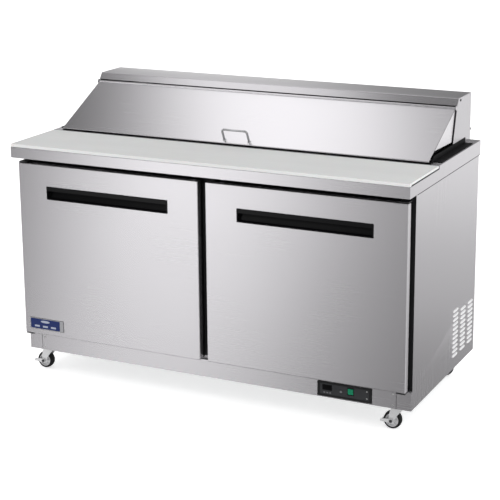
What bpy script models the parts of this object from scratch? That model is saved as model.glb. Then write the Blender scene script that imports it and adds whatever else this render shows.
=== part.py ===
"""Two-door refrigerated sandwich prep table, modelled as separate sub-parts.

Frame: +X runs along the width, +Y from the front to the back, +Z up, with the
origin on the floor under the middle of the table. All lengths are metres.
"""
import math

import bmesh
import bpy
from mathutils import Matrix, Vector

# ---------------------------------------------------------------- overall size
WIDTH = 1.556
DEPTH = 0.756
CAP_TOP = 1.083
GAP = 0.0003             # clearance between touching pieces
SHEET = 0.0015           # folded steel sheet
FAR = 0.05               # how far a cutter runs past the face it opens

FRONT_Y = -DEPTH / 2
BACK_Y = DEPTH / 2

# ---------------------------------------------------------------- cabinet
CAB_HALF = 0.7729        # outer face of a side panel
CAB_FRONT = -0.301       # front edge of the cabinet, behind the doors
CAB_BOTTOM = 0.092
CAB_TOP = 0.866          # side panels end inside the worktop skirt
KICK_TOP = 0.160
KICK_FRONT = -0.3125
KICK_SEAM = 0.719        # where the kick panel meets the corner flanges
FLANGE_X = 0.7620        # inner edge of the side panel's front flange
REAR_PANEL_HALF = 0.7340
REAR_PANEL_Y = 0.375     # inner face of the rear panel
REAR_PANEL_T = 0.002
BASE_Z = 0.1155          # underside of the base pan
BASE_T = 0.003
BASE_HALF = 0.7700
BASE_FRONT = -0.2865
BASE_REAR = 0.3740
FLOOR_TOP = 0.1597
WALL_OUT = 0.7705
WALL_IN = 0.7200
WALL_TOP = 0.8885
FRAME_T = 0.015          # depth of the face frame
WALL_FRONT = CAB_FRONT + FRAME_T + GAP
REAR_WALL_IN = 0.305
REAR_WALL_OUT = 0.350
MACHINE_LEFT = 0.200     # machine compartment at the rear bottom right
MACHINE_FRONT = 0.100
MACHINE_TOP = 0.345
MACHINE_WALL = 0.040
FACE_HALF = 0.7612       # face frame's outer edge
OPENING_X0 = 0.036       # door opening in the face frame
OPENING_X1 = 0.718
OPENING_Z0 = 0.205
OPENING_Z1 = 0.795
LOUVRE_COLUMNS = ((0.151, 11), (0.238, 10), (0.323, 10))     # middle y and slot count
LOUVRE_BOTTOM = 0.139
LOUVRE_PITCH = 0.0172
LOUVRE_HEIGHT = 0.006
LOUVRE_HALF = 0.027
GRILLE_X0 = 0.30         # air grille in the rear panel
GRILLE_X1 = 0.66
GRILLE_BOTTOM = 0.160
GRILLE_PITCH = 0.018
GRILLE_HEIGHT = 0.007
GRILLE_ROWS = 9
INLET_X = 0.10
INLET_Z = 0.20

# ---------------------------------------------------------------- doors
DOOR_OUT = 0.7645
DOOR_IN = 0.0150
DOOR_Z0 = 0.168
DOOR_Z1 = 0.829
DOOR_FRONT = -0.3525
SKIN_DEPTH = 0.0235
LINER_BACK = -0.3112
GASKET_W = 0.015
HINGE_X = 0.7525
HINGE_Y = -0.3405
PIN_R = 0.004
PIN_HOLE_R = 0.0045
PIN_LENGTH = 0.012
BRACKET_INNER = 0.7300
BRACKET_FRONT = -0.3500
BRACKET_T = 0.003
HANDLE_X0 = 0.137
HANDLE_X1 = 0.6435
HANDLE_Z0 = 0.6995
HANDLE_Z1 = 0.749
HANDLE_DEPTH = 0.020
HANDLE_LIP = 0.003

# ---------------------------------------------------------------- worktop
RIM_TOP = 0.904
LEDGE_TOP = 0.8913       # lowered front ledge that carries the board
SKIRT_BOTTOM = 0.8515
RIM_T = 0.002
STEP_Y = -0.0875         # riser between the ledge and the rim
RAIL_TOP = 0.926         # black upright under each end of the hood
RAIL_X0 = 0.7405
RAIL_X1 = 0.7440
RAIL_RUN = 0.034         # sloped front end of an upright
STRIP_Y0 = -0.045        # front of the flat black strip outside an upright
PLATE_T = 0.0031         # black frame standing proud of the rim
FRAME_Y0 = -0.079
FRAME_Y1 = 0.300
FRAME_HALF = 0.772
WELL_HALF = 0.719
WELL_BOTTOM = 0.862
PAN_COUNT = 8
PAN_PITCH = 0.1758
PAN_Y0 = -0.069          # front and rear ends of a pan's rim
PAN_Y1 = 0.256
PAN_DEPTH = 0.100
PAN_T = 0.0012
PAN_RIM = 0.009

# ---------------------------------------------------------------- hood
HOOD_HALF = 0.742
HOOD_BACK = 0.3603
LIP_LOW = Vector((0.1983, 1.0594))       # (y, z) of the cap's front lip
LIP_HIGH = Vector((0.2151, 1.0820))
LID_HALF = 0.738
LID_EDGE = Vector((-0.0855, 0.9132))     # (y, z) of the lid's front edge
LID_SLOPE = math.radians(27.0)
LID_T = 0.005
LID_PIVOT = Vector((0.1915, 1.0512))
HANDLE_ROD = 0.004
HANDLE_RISE = 0.048
HANDLE_HALF = 0.050
HANDLE_FROM_EDGE = 0.016

# ---------------------------------------------------------------- casters
WHEEL_R = 0.0325
WHEEL_HALF = 0.013
STEM_X = 0.714
STEM_FRONT_Y = -0.262
STEM_REAR_Y = 0.300
TRAIL = 0.024
STEM_R = 0.008
BOSS_BOTTOM = 0.0932
BRAKE_REACH = 0.0395     # pedal's tip, from the axle

# ---------------------------------------------------------------- materials
STEEL = ((0.62, 0.62, 0.63), 0.32, 1.0)
BRIGHT_STEEL = ((0.72, 0.72, 0.73), 0.22, 1.0)
GALVANISED = ((0.55, 0.57, 0.58), 0.45, 1.0)
FOAM_WALL = ((0.78, 0.79, 0.80), 0.40, 0.6)
BLACK_PLASTIC = ((0.015, 0.015, 0.016), 0.35, 0.0)
GASKET_RUBBER = ((0.03, 0.03, 0.03), 0.60, 0.0)
WHITE_LINER = ((0.80, 0.81, 0.82), 0.35, 0.0)
BOARD_WHITE = ((0.74, 0.74, 0.74), 0.55, 0.0)
TYRE_RUBBER = ((0.02, 0.02, 0.02), 0.65, 0.0)
GREEN_LENS = ((0.05, 0.45, 0.22), 0.25, 0.0)
BLUE_PLATE = ((0.03, 0.06, 0.20), 0.30, 0.0)
BLACK_PAINT = ((0.02, 0.02, 0.022), 0.40, 0.2)
FIN_ALUMINIUM = ((0.70, 0.72, 0.74), 0.40, 1.0)

for old in list(bpy.data.objects):
    bpy.data.objects.remove(old, do_unlink=True)

parts = bpy.data.collections.new("sandwich_prep_table")
cutters = bpy.data.collections.new("cutters")
bpy.context.scene.collection.children.link(parts)
bpy.context.scene.collection.children.link(cutters)


# ---------------------------------------------------------------- helpers
def material(name, look):
    """A Principled material from a (colour, roughness, metallic) triple."""
    colour, roughness, metallic = look
    mat = bpy.data.materials.new(name)
    mat.use_nodes = True
    shader = mat.node_tree.nodes["Principled BSDF"]
    shader.inputs["Base Color"].default_value = (*colour, 1.0)
    shader.inputs["Roughness"].default_value = roughness
    shader.inputs["Metallic"].default_value = metallic
    return mat


def part(obj, name, look):
    """File an object as a named sub-part with its own material."""
    obj.name = name
    obj.data.name = name
    for collection in list(obj.users_collection):
        collection.objects.unlink(obj)
    parts.objects.link(obj)
    obj.data.materials.clear()
    obj.data.materials.append(material(name, look))
    return obj


def guide(obj):
    """File an object as a tool for a Boolean, outside the part."""
    for collection in list(obj.users_collection):
        collection.objects.unlink(obj)
    cutters.objects.link(obj)
    obj.hide_render = True
    obj.display_type = "WIRE"
    return obj


def mesh_object(bm, name="piece"):
    mesh = bpy.data.meshes.new(name)
    bm.to_mesh(mesh)
    bm.free()
    obj = bpy.data.objects.new(name, mesh)
    bpy.context.scene.collection.objects.link(obj)
    return obj


def cube_in(bm, low, high):
    """Add a box between two corners to a bmesh."""
    low, high = Vector(low), Vector(high)
    size = high - low
    place = Matrix.Translation((low + high) / 2) @ Matrix.Diagonal((*size, 1.0))
    return bmesh.ops.create_cube(bm, size=1.0, matrix=place)["verts"]


def box(low, high):
    bm = bmesh.new()
    cube_in(bm, low, high)
    return mesh_object(bm)


def boxes(corner_pairs):
    """One tool made of several boxes that don't touch."""
    bm = bmesh.new()
    for low, high in corner_pairs:
        cube_in(bm, low, high)
    return mesh_object(bm)


def rod(start, end, radius, segments=16):
    """A cylinder from one point to another."""
    start, end = Vector(start), Vector(end)
    axis = end - start
    turn = axis.to_track_quat("Z", "Y").to_matrix().to_4x4()
    place = Matrix.Translation((start + end) / 2) @ turn
    bm = bmesh.new()
    bmesh.ops.create_cone(bm, cap_ends=True, segments=segments, radius1=radius,
                          radius2=radius, depth=axis.length, matrix=place)
    return mesh_object(bm)


def curve_to_mesh(obj):
    """Turn a curve object into a closed mesh object in the same place."""
    bpy.context.view_layer.update()
    evaluated = obj.evaluated_get(bpy.context.evaluated_depsgraph_get())
    mesh = bpy.data.meshes.new_from_object(evaluated)
    bm = bmesh.new()
    bm.from_mesh(mesh)
    bmesh.ops.remove_doubles(bm, verts=bm.verts, dist=0.00001)
    bmesh.ops.recalc_face_normals(bm, faces=bm.faces)
    bm.to_mesh(mesh)
    bm.free()
    solid = bpy.data.objects.new("solid", mesh)
    solid.matrix_world = obj.matrix_world.copy()
    bpy.context.scene.collection.objects.link(solid)
    bpy.data.objects.remove(obj, do_unlink=True)
    return solid


def plate(outline, x0, x1):
    """An outline of (y, z) points, extruded along X from x0 to x1."""
    data = bpy.data.curves.new("outline", "CURVE")
    data.dimensions = "2D"
    data.fill_mode = "BOTH"
    data.extrude = abs(x1 - x0) / 2
    spline = data.splines.new("POLY")
    spline.points.add(len(outline) - 1)
    for point, (y, z) in zip(spline.points, outline):
        point.co = (y, z, 0.0, 1.0)
    spline.use_cyclic_u = True
    obj = bpy.data.objects.new("outline", data)
    bpy.context.scene.collection.objects.link(obj)
    # The outline's own x, y and z become world y, z and x.
    obj.matrix_world = Matrix(((0, 0, 1, (x0 + x1) / 2), (1, 0, 0, 0),
                               (0, 1, 0, 0), (0, 0, 0, 1)))
    solid = curve_to_mesh(obj)
    solid.data.transform(solid.matrix_world)
    solid.matrix_world = Matrix.Identity(4)
    return solid


def turned(profile, steps=20):
    """A (radius, z) profile turned about Z with a Screw modifier."""
    bm = bmesh.new()
    verts = [bm.verts.new((radius, 0.0, z)) for radius, z in profile]
    for a, b in zip(verts, verts[1:]):
        bm.edges.new((a, b))
    obj = mesh_object(bm)
    screw = obj.modifiers.new("turn", "SCREW")
    screw.axis = "Z"
    screw.steps = steps
    screw.render_steps = steps
    screw.use_merge_vertices = True
    screw.merge_threshold = 0.00001
    return obj


def boolean(obj, tool, operation="DIFFERENCE"):
    modifier = obj.modifiers.new(operation.lower(), "BOOLEAN")
    modifier.operation = operation
    modifier.solver = "EXACT"
    modifier.object = guide(tool)
    return obj


def cut(obj, *tools):
    for tool in tools:
        boolean(obj, tool, "DIFFERENCE")
    return obj


def join(obj, *tools):
    for tool in tools:
        boolean(obj, tool, "UNION")
    return obj


def bevel(obj, width, segments=2):
    modifier = obj.modifiers.new("bevel", "BEVEL")
    modifier.width = width
    modifier.segments = segments
    modifier.limit_method = "ANGLE"
    return obj


def baked(obj):
    """The object's evaluated mesh in place of its modifiers."""
    bpy.context.view_layer.update()
    evaluated = obj.evaluated_get(bpy.context.evaluated_depsgraph_get())
    mesh = bpy.data.meshes.new_from_object(evaluated)
    obj.modifiers.clear()
    obj.data = mesh
    return obj


def pivot_at(obj, point):
    """Move the object's origin to a point on its joint's axis."""
    baked(obj)
    obj.data.transform(obj.matrix_world)
    obj.data.transform(Matrix.Translation(-Vector(point)))
    obj.matrix_world = Matrix.Translation(Vector(point))
    return obj


def mirrored(low, high, side):
    """Corners of a box mirrored to side -1 or kept at side +1."""
    xs = sorted((low[0] * side, high[0] * side))
    return (xs[0], low[1], low[2]), (xs[1], high[1], high[2])


def side_box(low, high, side):
    return box(*mirrored(low, high, side))


SIDES = (("left", -1), ("right", 1))


# ---------------------------------------------------------------- cabinet shell
def build_side_panel(name, side):
    """A folded outer panel with front, rear and kick-corner flanges."""
    inner = CAB_HALF - SHEET
    panel = side_box((inner, CAB_FRONT, CAB_BOTTOM), (CAB_HALF, BACK_Y - GAP, CAB_TOP), side)
    join(
        panel,
        side_box((FLANGE_X, CAB_FRONT, KICK_TOP), (CAB_HALF, CAB_FRONT + SHEET, CAB_TOP), side),
        side_box((inner, KICK_FRONT, CAB_BOTTOM), (CAB_HALF, CAB_FRONT + 0.001, KICK_TOP), side),
        side_box((KICK_SEAM, KICK_FRONT, CAB_BOTTOM),
                 (CAB_HALF, KICK_FRONT + SHEET, KICK_TOP), side),
        side_box((REAR_PANEL_HALF + GAP, BACK_Y - GAP - SHEET, CAB_BOTTOM),
                 (CAB_HALF, BACK_Y - GAP, CAB_TOP), side),
    )
    if side > 0:
        cut(panel, louvre_slots(inner))
    return part(panel, name, STEEL)


def louvre_slots(inner):
    """Three columns of short level slots low on the rear of the right panel."""
    slots = []
    for middle, count in LOUVRE_COLUMNS:
        for row in range(count):
            z = LOUVRE_BOTTOM + row * LOUVRE_PITCH
            slots.append(((inner - FAR, middle - LOUVRE_HALF, z),
                          (CAB_HALF + FAR, middle + LOUVRE_HALF, z + LOUVRE_HEIGHT)))
    return boxes(slots)


def build_rear_panel():
    """Flat rear panel with an air grille and the hole for the power inlet."""
    panel = box((-REAR_PANEL_HALF, REAR_PANEL_Y, CAB_BOTTOM),
                (REAR_PANEL_HALF, REAR_PANEL_Y + REAR_PANEL_T, CAB_TOP))
    slots = []
    for row in range(GRILLE_ROWS):
        z = GRILLE_BOTTOM + row * GRILLE_PITCH
        slots.append(((GRILLE_X0, BACK_Y - FAR, z), (GRILLE_X1, BACK_Y + FAR, z + GRILLE_HEIGHT)))
    inlet_hole = rod((INLET_X, BACK_Y - FAR, INLET_Z), (INLET_X, BACK_Y + FAR, INLET_Z), 0.0115)
    cut(panel, boxes(slots), inlet_hole)
    return part(panel, "rear_panel", GALVANISED)


def build_walls():
    """Foamed walls, rear wall and floor of the refrigerated compartment."""
    for label, side in SIDES:
        wall = side_box((WALL_IN, WALL_FRONT, FLOOR_TOP + GAP), (WALL_OUT, REAR_WALL_OUT, WALL_TOP), side)
        if side > 0:
            cut(wall, box((WALL_IN - FAR, MACHINE_FRONT, FLOOR_TOP - FAR),
                          (WALL_OUT + FAR, REAR_WALL_OUT + FAR, MACHINE_TOP)))
        part(wall, f"wall_{label}", FOAM_WALL)

    edge = WALL_IN - GAP
    rear = box((-edge, REAR_WALL_IN, FLOOR_TOP + GAP), (edge, REAR_WALL_OUT, WALL_TOP))
    join(rear, box((MACHINE_LEFT - MACHINE_WALL, MACHINE_FRONT - MACHINE_WALL, FLOOR_TOP + GAP),
                   (edge, REAR_WALL_OUT, MACHINE_TOP + MACHINE_WALL)))
    cut(rear, box((MACHINE_LEFT, MACHINE_FRONT, FLOOR_TOP - FAR),
                  (edge + FAR, REAR_WALL_OUT + FAR, MACHINE_TOP)))
    part(rear, "wall_rear", FOAM_WALL)

    floor = box((-WALL_OUT, WALL_FRONT, BASE_Z + BASE_T + GAP), (WALL_OUT, REAR_WALL_OUT, FLOOR_TOP))
    cut(floor, box((MACHINE_LEFT, MACHINE_FRONT, 0.0), (WALL_OUT + FAR, REAR_WALL_OUT + FAR, 0.3)))
    part(floor, "wall_floor", FOAM_WALL)


def build_face_frame():
    """Header, sill, side stiles and centre mullion that the gaskets close on."""
    frame = box((-FACE_HALF, CAB_FRONT, KICK_TOP), (FACE_HALF, CAB_FRONT + FRAME_T, WALL_TOP))
    openings = []
    for _, side in SIDES:
        openings.append(mirrored((OPENING_X0, CAB_FRONT - FAR, OPENING_Z0),
                                 (OPENING_X1, CAB_FRONT + FAR, OPENING_Z1), side))
    cut(frame, boxes(openings))
    return part(frame, "face_frame", STEEL)


def build_base_pan():
    """Base sheet with a threaded boss for each caster stem."""
    pan = box((-BASE_HALF, BASE_FRONT, BASE_Z), (BASE_HALF, BASE_REAR, BASE_Z + BASE_T))
    for _, side in SIDES:
        for y in (STEM_FRONT_Y, STEM_REAR_Y):
            join(pan, rod((STEM_X * side, y, BOSS_BOTTOM), (STEM_X * side, y, BASE_Z + 0.001), 0.016))
    for _, side in SIDES:
        for y in (STEM_FRONT_Y, STEM_REAR_Y):
            cut(pan, rod((STEM_X * side, y, BOSS_BOTTOM - 0.01), (STEM_X * side, y, BASE_Z + 0.02),
                         STEM_R + 0.0004))
    return part(pan, "base_pan", GALVANISED)


# ---------------------------------------------------------------- kick panel
BEZEL_X0, BEZEL_X1 = 0.427, 0.630
BEZEL_Z0, BEZEL_Z1 = 0.0965, 0.1515
ROCKER = Vector((0.552, -0.3105, 0.128))
BUTTON = Vector((0.5155, 0.0, 0.122))
BEZEL_FRONT = -0.3160


def build_kick_panel():
    edge = KICK_SEAM - GAP
    panel = box((-edge, KICK_FRONT, CAB_BOTTOM), (edge, KICK_FRONT + SHEET, KICK_TOP - 0.002))
    top_flange = box((-edge, KICK_FRONT, KICK_TOP - 0.002 - SHEET), (edge, -0.3020, KICK_TOP - 0.002))
    join(panel, top_flange)
    cut(panel, box((BEZEL_X0 + 0.006, KICK_FRONT - FAR, BEZEL_Z0 + 0.005),
                   (BEZEL_X1 - 0.006, -0.3050, BEZEL_Z1 - 0.005)))
    return part(panel, "kick_panel", STEEL)


def build_controls():
    """Bezel with its controller body, one set button and the power rocker."""
    bezel = box((BEZEL_X0, BEZEL_FRONT, BEZEL_Z0), (BEZEL_X1, KICK_FRONT - GAP, BEZEL_Z1))
    join(bezel, box((BEZEL_X0 + 0.0075, BEZEL_FRONT + 0.001, BEZEL_Z0 + 0.0065),
                    (BEZEL_X1 - 0.0075, -0.2880, BEZEL_Z1 - 0.0065)))
    face_recess = box((BEZEL_X0 + 0.009, BEZEL_FRONT - FAR, BEZEL_Z0 + 0.0075),
                      (BEZEL_X1 - 0.009, BEZEL_FRONT + 0.002, BEZEL_Z1 - 0.0075))
    rocker_hole = box((ROCKER.x - 0.0103, BEZEL_FRONT - FAR, ROCKER.z - 0.0125),
                      (ROCKER.x + 0.0103, -0.2980, ROCKER.z + 0.0125))
    button_hole = rod((BUTTON.x, BEZEL_FRONT - FAR, BUTTON.z), (BUTTON.x, -0.3000, BUTTON.z), 0.0052, 12)
    cut(bezel, face_recess, rocker_hole, button_hole)
    part(bezel, "control_bezel", BLACK_PLASTIC)

    button = rod((BUTTON.x, -0.3165, BUTTON.z), (BUTTON.x, -0.3060, BUTTON.z), 0.0048, 12)
    part(pivot_at(button, (BUTTON.x, -0.3060, BUTTON.z)), "thermostat_button", BLACK_PLASTIC)

    rocker = plate([(-0.3155, 0.1173), (-0.3180, 0.1387), (-0.3080, 0.1387),
                    (-0.3055, 0.1340), (-0.3055, 0.1220), (-0.3080, 0.1173)],
                   ROCKER.x - 0.0098, ROCKER.x + 0.0098)
    part(pivot_at(rocker, ROCKER), "rocker_switch", GREEN_LENS)


# ---------------------------------------------------------------- worktop
def build_worktop():
    """Pressed surround: front ledge and lip, rim, skirts and the pan opening."""
    half = WIDTH / 2
    rim = box((-half, FRONT_Y, SKIRT_BOTTOM), (half, BACK_Y, RIM_TOP))
    ledge_cut = box((-half - FAR, FRONT_Y - FAR, LEDGE_TOP), (half + FAR, STEP_Y, RIM_TOP + FAR))
    front_hollow = box((-half + RIM_T, FRONT_Y + RIM_T, SKIRT_BOTTOM - FAR),
                       (half - RIM_T, STEP_Y + 0.010, LEDGE_TOP - RIM_T))
    rear_hollow = box((-half + RIM_T, STEP_Y + RIM_T, SKIRT_BOTTOM - FAR),
                      (half - RIM_T, BACK_Y - RIM_T, RIM_TOP - RIM_T))
    rear_skirt_cut = box((-half + RIM_T, BACK_Y - 0.004, SKIRT_BOTTOM - FAR),
                         (half - RIM_T, BACK_Y + FAR, CAB_TOP + 0.002))
    opening = box((-WELL_HALF - GAP, FRAME_Y0 - GAP, RIM_TOP - FAR),
                  (WELL_HALF + GAP, FRAME_Y1 + GAP, RIM_TOP + FAR))
    cut(rim, ledge_cut, front_hollow, rear_hollow, rear_skirt_cut, opening)
    part(rim, "worktop_rim", STEEL)

    board = box((-half + 0.001, FRONT_Y + 0.0005, LEDGE_TOP + GAP), (half - 0.001, STEP_Y - 0.001, RIM_TOP))
    part(bevel(board, 0.0015, 1), "cutting_board", BOARD_WHITE)


def build_pan_frame():
    """Black frame in the opening, with a flat strip and an upright outside each end of the lid."""
    plate_z0 = RIM_TOP + GAP
    plate_z1 = plate_z0 + PLATE_T
    frame = box((-WELL_HALF, FRAME_Y0, WELL_BOTTOM), (WELL_HALF, FRAME_Y1, plate_z1 - 0.001))
    join(frame, box((-RAIL_X1, FRAME_Y0, plate_z0), (RAIL_X1, FRAME_Y1, plate_z1)))
    for _, side in SIDES:
        x0, x1 = sorted((RAIL_X0 * side, RAIL_X1 * side))
        upright = plate([(FRAME_Y0, plate_z0), (FRAME_Y1, plate_z0), (FRAME_Y1, RAIL_TOP),
                         (FRAME_Y0 + RAIL_RUN, RAIL_TOP)], x0, x1)
        strip = side_box((RAIL_X0 + 0.001, STRIP_Y0, plate_z0), (FRAME_HALF, FRAME_Y1, plate_z1), side)
        join(frame, strip, upright)
    half = PAN_COUNT * PAN_PITCH / 2 - PAN_RIM + 0.002
    cut(frame, box((-half, PAN_Y0 + 0.007, WELL_BOTTOM - FAR), (half, PAN_Y1 - 0.007, RIM_TOP + FAR)))
    part(frame, "pan_frame", BLACK_PLASTIC)


def build_pans():
    """Eight third-size pans hanging by their rims on the black frame."""
    rim_z0 = RIM_TOP + GAP + PLATE_T + GAP
    middle = (PAN_Y0 + PAN_Y1) / 2
    half_x = PAN_PITCH / 2 - 0.0003
    half_y = (PAN_Y1 - PAN_Y0) / 2

    def tapered(inset, bottom, top):
        bm = bmesh.new()
        verts = cube_in(bm, (-half_x + PAN_RIM + inset, -half_y + PAN_RIM + inset, bottom),
                        (half_x - PAN_RIM - inset, half_y - PAN_RIM - inset, top))
        for vert in verts:
            if vert.co.z < (bottom + top) / 2:
                vert.co.x *= 0.93
                vert.co.y *= 0.96
        return mesh_object(bm)

    pan = tapered(0.0, -PAN_DEPTH, PAN_T)
    join(pan, box((-half_x, -half_y, 0.0), (half_x, half_y, PAN_T)))
    cut(pan, tapered(PAN_T, -PAN_DEPTH + PAN_T, PAN_T + 0.001))
    baked(pan)
    first_x = -(PAN_COUNT - 1) / 2 * PAN_PITCH
    for index in range(PAN_COUNT):
        copy = pan if index == 0 else bpy.data.objects.new("pan", pan.data.copy())
        copy.location = (first_x + index * PAN_PITCH, middle, rim_z0)
        part(copy, f"pan_{index + 1}", BRIGHT_STEEL)


# ---------------------------------------------------------------- hood and lid
def build_hood_cap():
    """Folded sheet: sloped front lip, top and the rear wall of the hood."""
    t = SHEET
    along = (LIP_HIGH - LIP_LOW).normalized()
    inward = Vector((along.y, -along.x))
    low_in = LIP_LOW + inward * t
    rise = (CAP_TOP - t - low_in.y) / along.y
    high_in = low_in + along * rise
    outline = [tuple(LIP_LOW), tuple(LIP_HIGH), (LIP_HIGH.x + 0.0025, CAP_TOP), (HOOD_BACK, CAP_TOP),
               (HOOD_BACK, RIM_TOP + GAP), (HOOD_BACK - t, RIM_TOP + GAP), (HOOD_BACK - t, CAP_TOP - t),
               tuple(high_in), tuple(low_in)]
    cap = plate(outline, -HOOD_HALF, HOOD_HALF)
    part(cap, "hood_cap", STEEL)


def build_hood_end(label, side):
    """Fixed end plate with an ear that carries the lid's pivot pin."""
    top = CAP_TOP - SHEET - GAP
    back = HOOD_BACK - SHEET - GAP
    bottom = RAIL_TOP + GAP
    outline = [(0.1640, bottom), (back, bottom), (back, top), (0.2185, top), (0.2012, 1.0572),
               (0.1975, 1.0440)]
    x0, x1 = sorted(((HOOD_HALF - SHEET) * side, HOOD_HALF * side))
    end = plate(outline, x0, x1)
    ear = rod((x0, LID_PIVOT.x, LID_PIVOT.y), (x1, LID_PIVOT.x, LID_PIVOT.y), 0.0085)
    pin_hole = rod((x0 - FAR, LID_PIVOT.x, LID_PIVOT.y), (x1 + FAR, LID_PIVOT.x, LID_PIVOT.y), 0.0031)
    foot = box((x0, 0.305, RIM_TOP + GAP), (x1, back, bottom + 0.001))
    join(end, ear, foot)
    cut(end, pin_hole)
    part(end, f"hood_end_{label}", STEEL)


def build_lid():
    """Sloped lid with folded end wings, a pivot barrel and end pins."""
    along = Vector((math.cos(LID_SLOPE), math.sin(LID_SLOPE)))
    down = Vector((along.y, -along.x))
    length = (LID_PIVOT - LID_EDGE).dot(along)
    edge_in = LID_EDGE + down * LID_T
    top_out = LID_EDGE + along * length
    top_in = edge_in + along * length
    slab = plate([tuple(LID_EDGE), tuple(edge_in), tuple(top_in), tuple(top_out)], -LID_HALF, LID_HALF)
    join(slab, rod((-LID_HALF + 0.002, *LID_PIVOT), (LID_HALF - 0.002, *LID_PIVOT), 0.0045),
         rod((-HOOD_HALF + 0.0002, *LID_PIVOT), (HOOD_HALF - 0.0002, *LID_PIVOT), 0.0027))
    wing = [(-0.0290, 0.9385), (0.1580, 0.9335), (0.1860, 1.0480), (0.1700, 1.0405)]
    for _, side in SIDES:
        x0, x1 = sorted(((LID_HALF - SHEET) * side, LID_HALF * side))
        join(slab, plate(wing, x0, x1))
    part(pivot_at(slab, (0.0, *LID_PIVOT)), "lid_panel", STEEL)

    # Bent-rod handle standing square to the lid, just above its front edge.
    foot = LID_EDGE + along * HANDLE_FROM_EDGE - down * GAP
    head = foot - down * HANDLE_RISE
    corner = 0.010
    path = [(-HANDLE_HALF, *foot)]
    bend_start = head + down * corner
    for step in range(5):
        turn = math.pi / 2 * step / 4
        x = -HANDLE_HALF + corner * (1 - math.cos(turn))
        spot = bend_start - down * corner * math.sin(turn)
        path.append((x, *spot))
    path += [(-x, y, z) for x, y, z in reversed(path)]
    data = bpy.data.curves.new("handle", "CURVE")
    data.dimensions = "3D"
    data.bevel_depth = HANDLE_ROD
    data.bevel_resolution = 2
    data.use_fill_caps = True
    spline = data.splines.new("POLY")
    spline.points.add(len(path) - 1)
    for point, place in zip(spline.points, path):
        point.co = (*place, 1.0)
    handle = bpy.data.objects.new("handle", data)
    bpy.context.scene.collection.objects.link(handle)
    part(pivot_at(curve_to_mesh(handle), (0.0, *LID_PIVOT)), "lid_handle", BRIGHT_STEEL)


# ---------------------------------------------------------------- doors
def door_skin(side):
    """Outer door pan, open at the back, with the handle window."""
    bm = bmesh.new()
    low, high = mirrored((DOOR_IN, DOOR_FRONT, DOOR_Z0), (DOOR_OUT, DOOR_FRONT + SKIN_DEPTH, DOOR_Z1), side)
    cube_in(bm, low, high)
    front = DOOR_FRONT + 0.0001
    edges = [e for e in bm.edges if any(v.co.y < front for v in e.verts)]
    bmesh.ops.bevel(bm, geom=edges, offset=0.0025, segments=2, profile=0.5, affect="EDGES")
    skin = mesh_object(bm)
    t = SHEET
    hollow = side_box((DOOR_IN + t, DOOR_FRONT + t, DOOR_Z0 + t),
                      (DOOR_OUT - t, DOOR_FRONT + SKIN_DEPTH + FAR, DOOR_Z1 - t), side)
    window = side_box((HANDLE_X0 + HANDLE_LIP, DOOR_FRONT - FAR, HANDLE_Z0 + HANDLE_LIP),
                      (HANDLE_X1 - HANDLE_LIP, DOOR_FRONT + 0.010, HANDLE_Z1 - HANDLE_LIP), side)
    return cut(skin, hollow, window)


def door_liner(side):
    """Foamed core with the white inner panel that carries the gasket."""
    inset = SHEET + GAP
    core = side_box((DOOR_IN + inset, DOOR_FRONT + inset, DOOR_Z0 + inset),
                    (DOOR_OUT - inset, DOOR_FRONT + SKIN_DEPTH, DOOR_Z1 - inset), side)
    raised = side_box((DOOR_IN + 0.004, DOOR_FRONT + 0.010, DOOR_Z0 + 0.004),
                      (0.7545, LINER_BACK, DOOR_Z1 - 0.004), side)
    join(core, raised)
    pocket = side_box((HANDLE_X0 + HANDLE_LIP - 0.001, DOOR_FRONT - FAR, HANDLE_Z0 + HANDLE_LIP - 0.001),
                      (HANDLE_X1 - HANDLE_LIP + 0.001, DOOR_FRONT + HANDLE_DEPTH + 0.001,
                       HANDLE_Z1 - HANDLE_LIP + 0.001), side)
    return cut(core, pocket)


def door_gasket(side):
    """Magnetic gasket ring between the inner panel and the face frame."""
    x1 = HINGE_X - 0.0015
    x0 = 0.0215
    z0, z1 = DOOR_Z0 + 0.008, DOOR_Z1 - 0.008
    ring = side_box((x0, LINER_BACK + GAP, z0), (x1, CAB_FRONT - GAP, z1), side)
    hole = side_box((x0 + GASKET_W, LINER_BACK - FAR, z0 + GASKET_W),
                    (x1 - GASKET_W, CAB_FRONT + FAR, z1 - GASKET_W), side)
    return cut(ring, hole)


def door_handle(side):
    """Recessed black pocket with a lip over the skin's window."""
    lip_front = DOOR_FRONT - 0.0025
    lip = side_box((HANDLE_X0, lip_front, HANDLE_Z0), (HANDLE_X1, DOOR_FRONT - GAP, HANDLE_Z1), side)
    inset = HANDLE_LIP + GAP
    pocket = side_box((HANDLE_X0 + inset, lip_front + 0.001, HANDLE_Z0 + inset),
                      (HANDLE_X1 - inset, DOOR_FRONT + HANDLE_DEPTH, HANDLE_Z1 - inset), side)
    join(lip, pocket)
    wall = 0.0018
    hollow = side_box((HANDLE_X0 + inset + wall, lip_front - FAR, HANDLE_Z0 + inset + wall),
                      (HANDLE_X1 - inset - wall, DOOR_FRONT + HANDLE_DEPTH - wall,
                       HANDLE_Z1 - inset - wall), side)
    return cut(lip, hollow)


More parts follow.
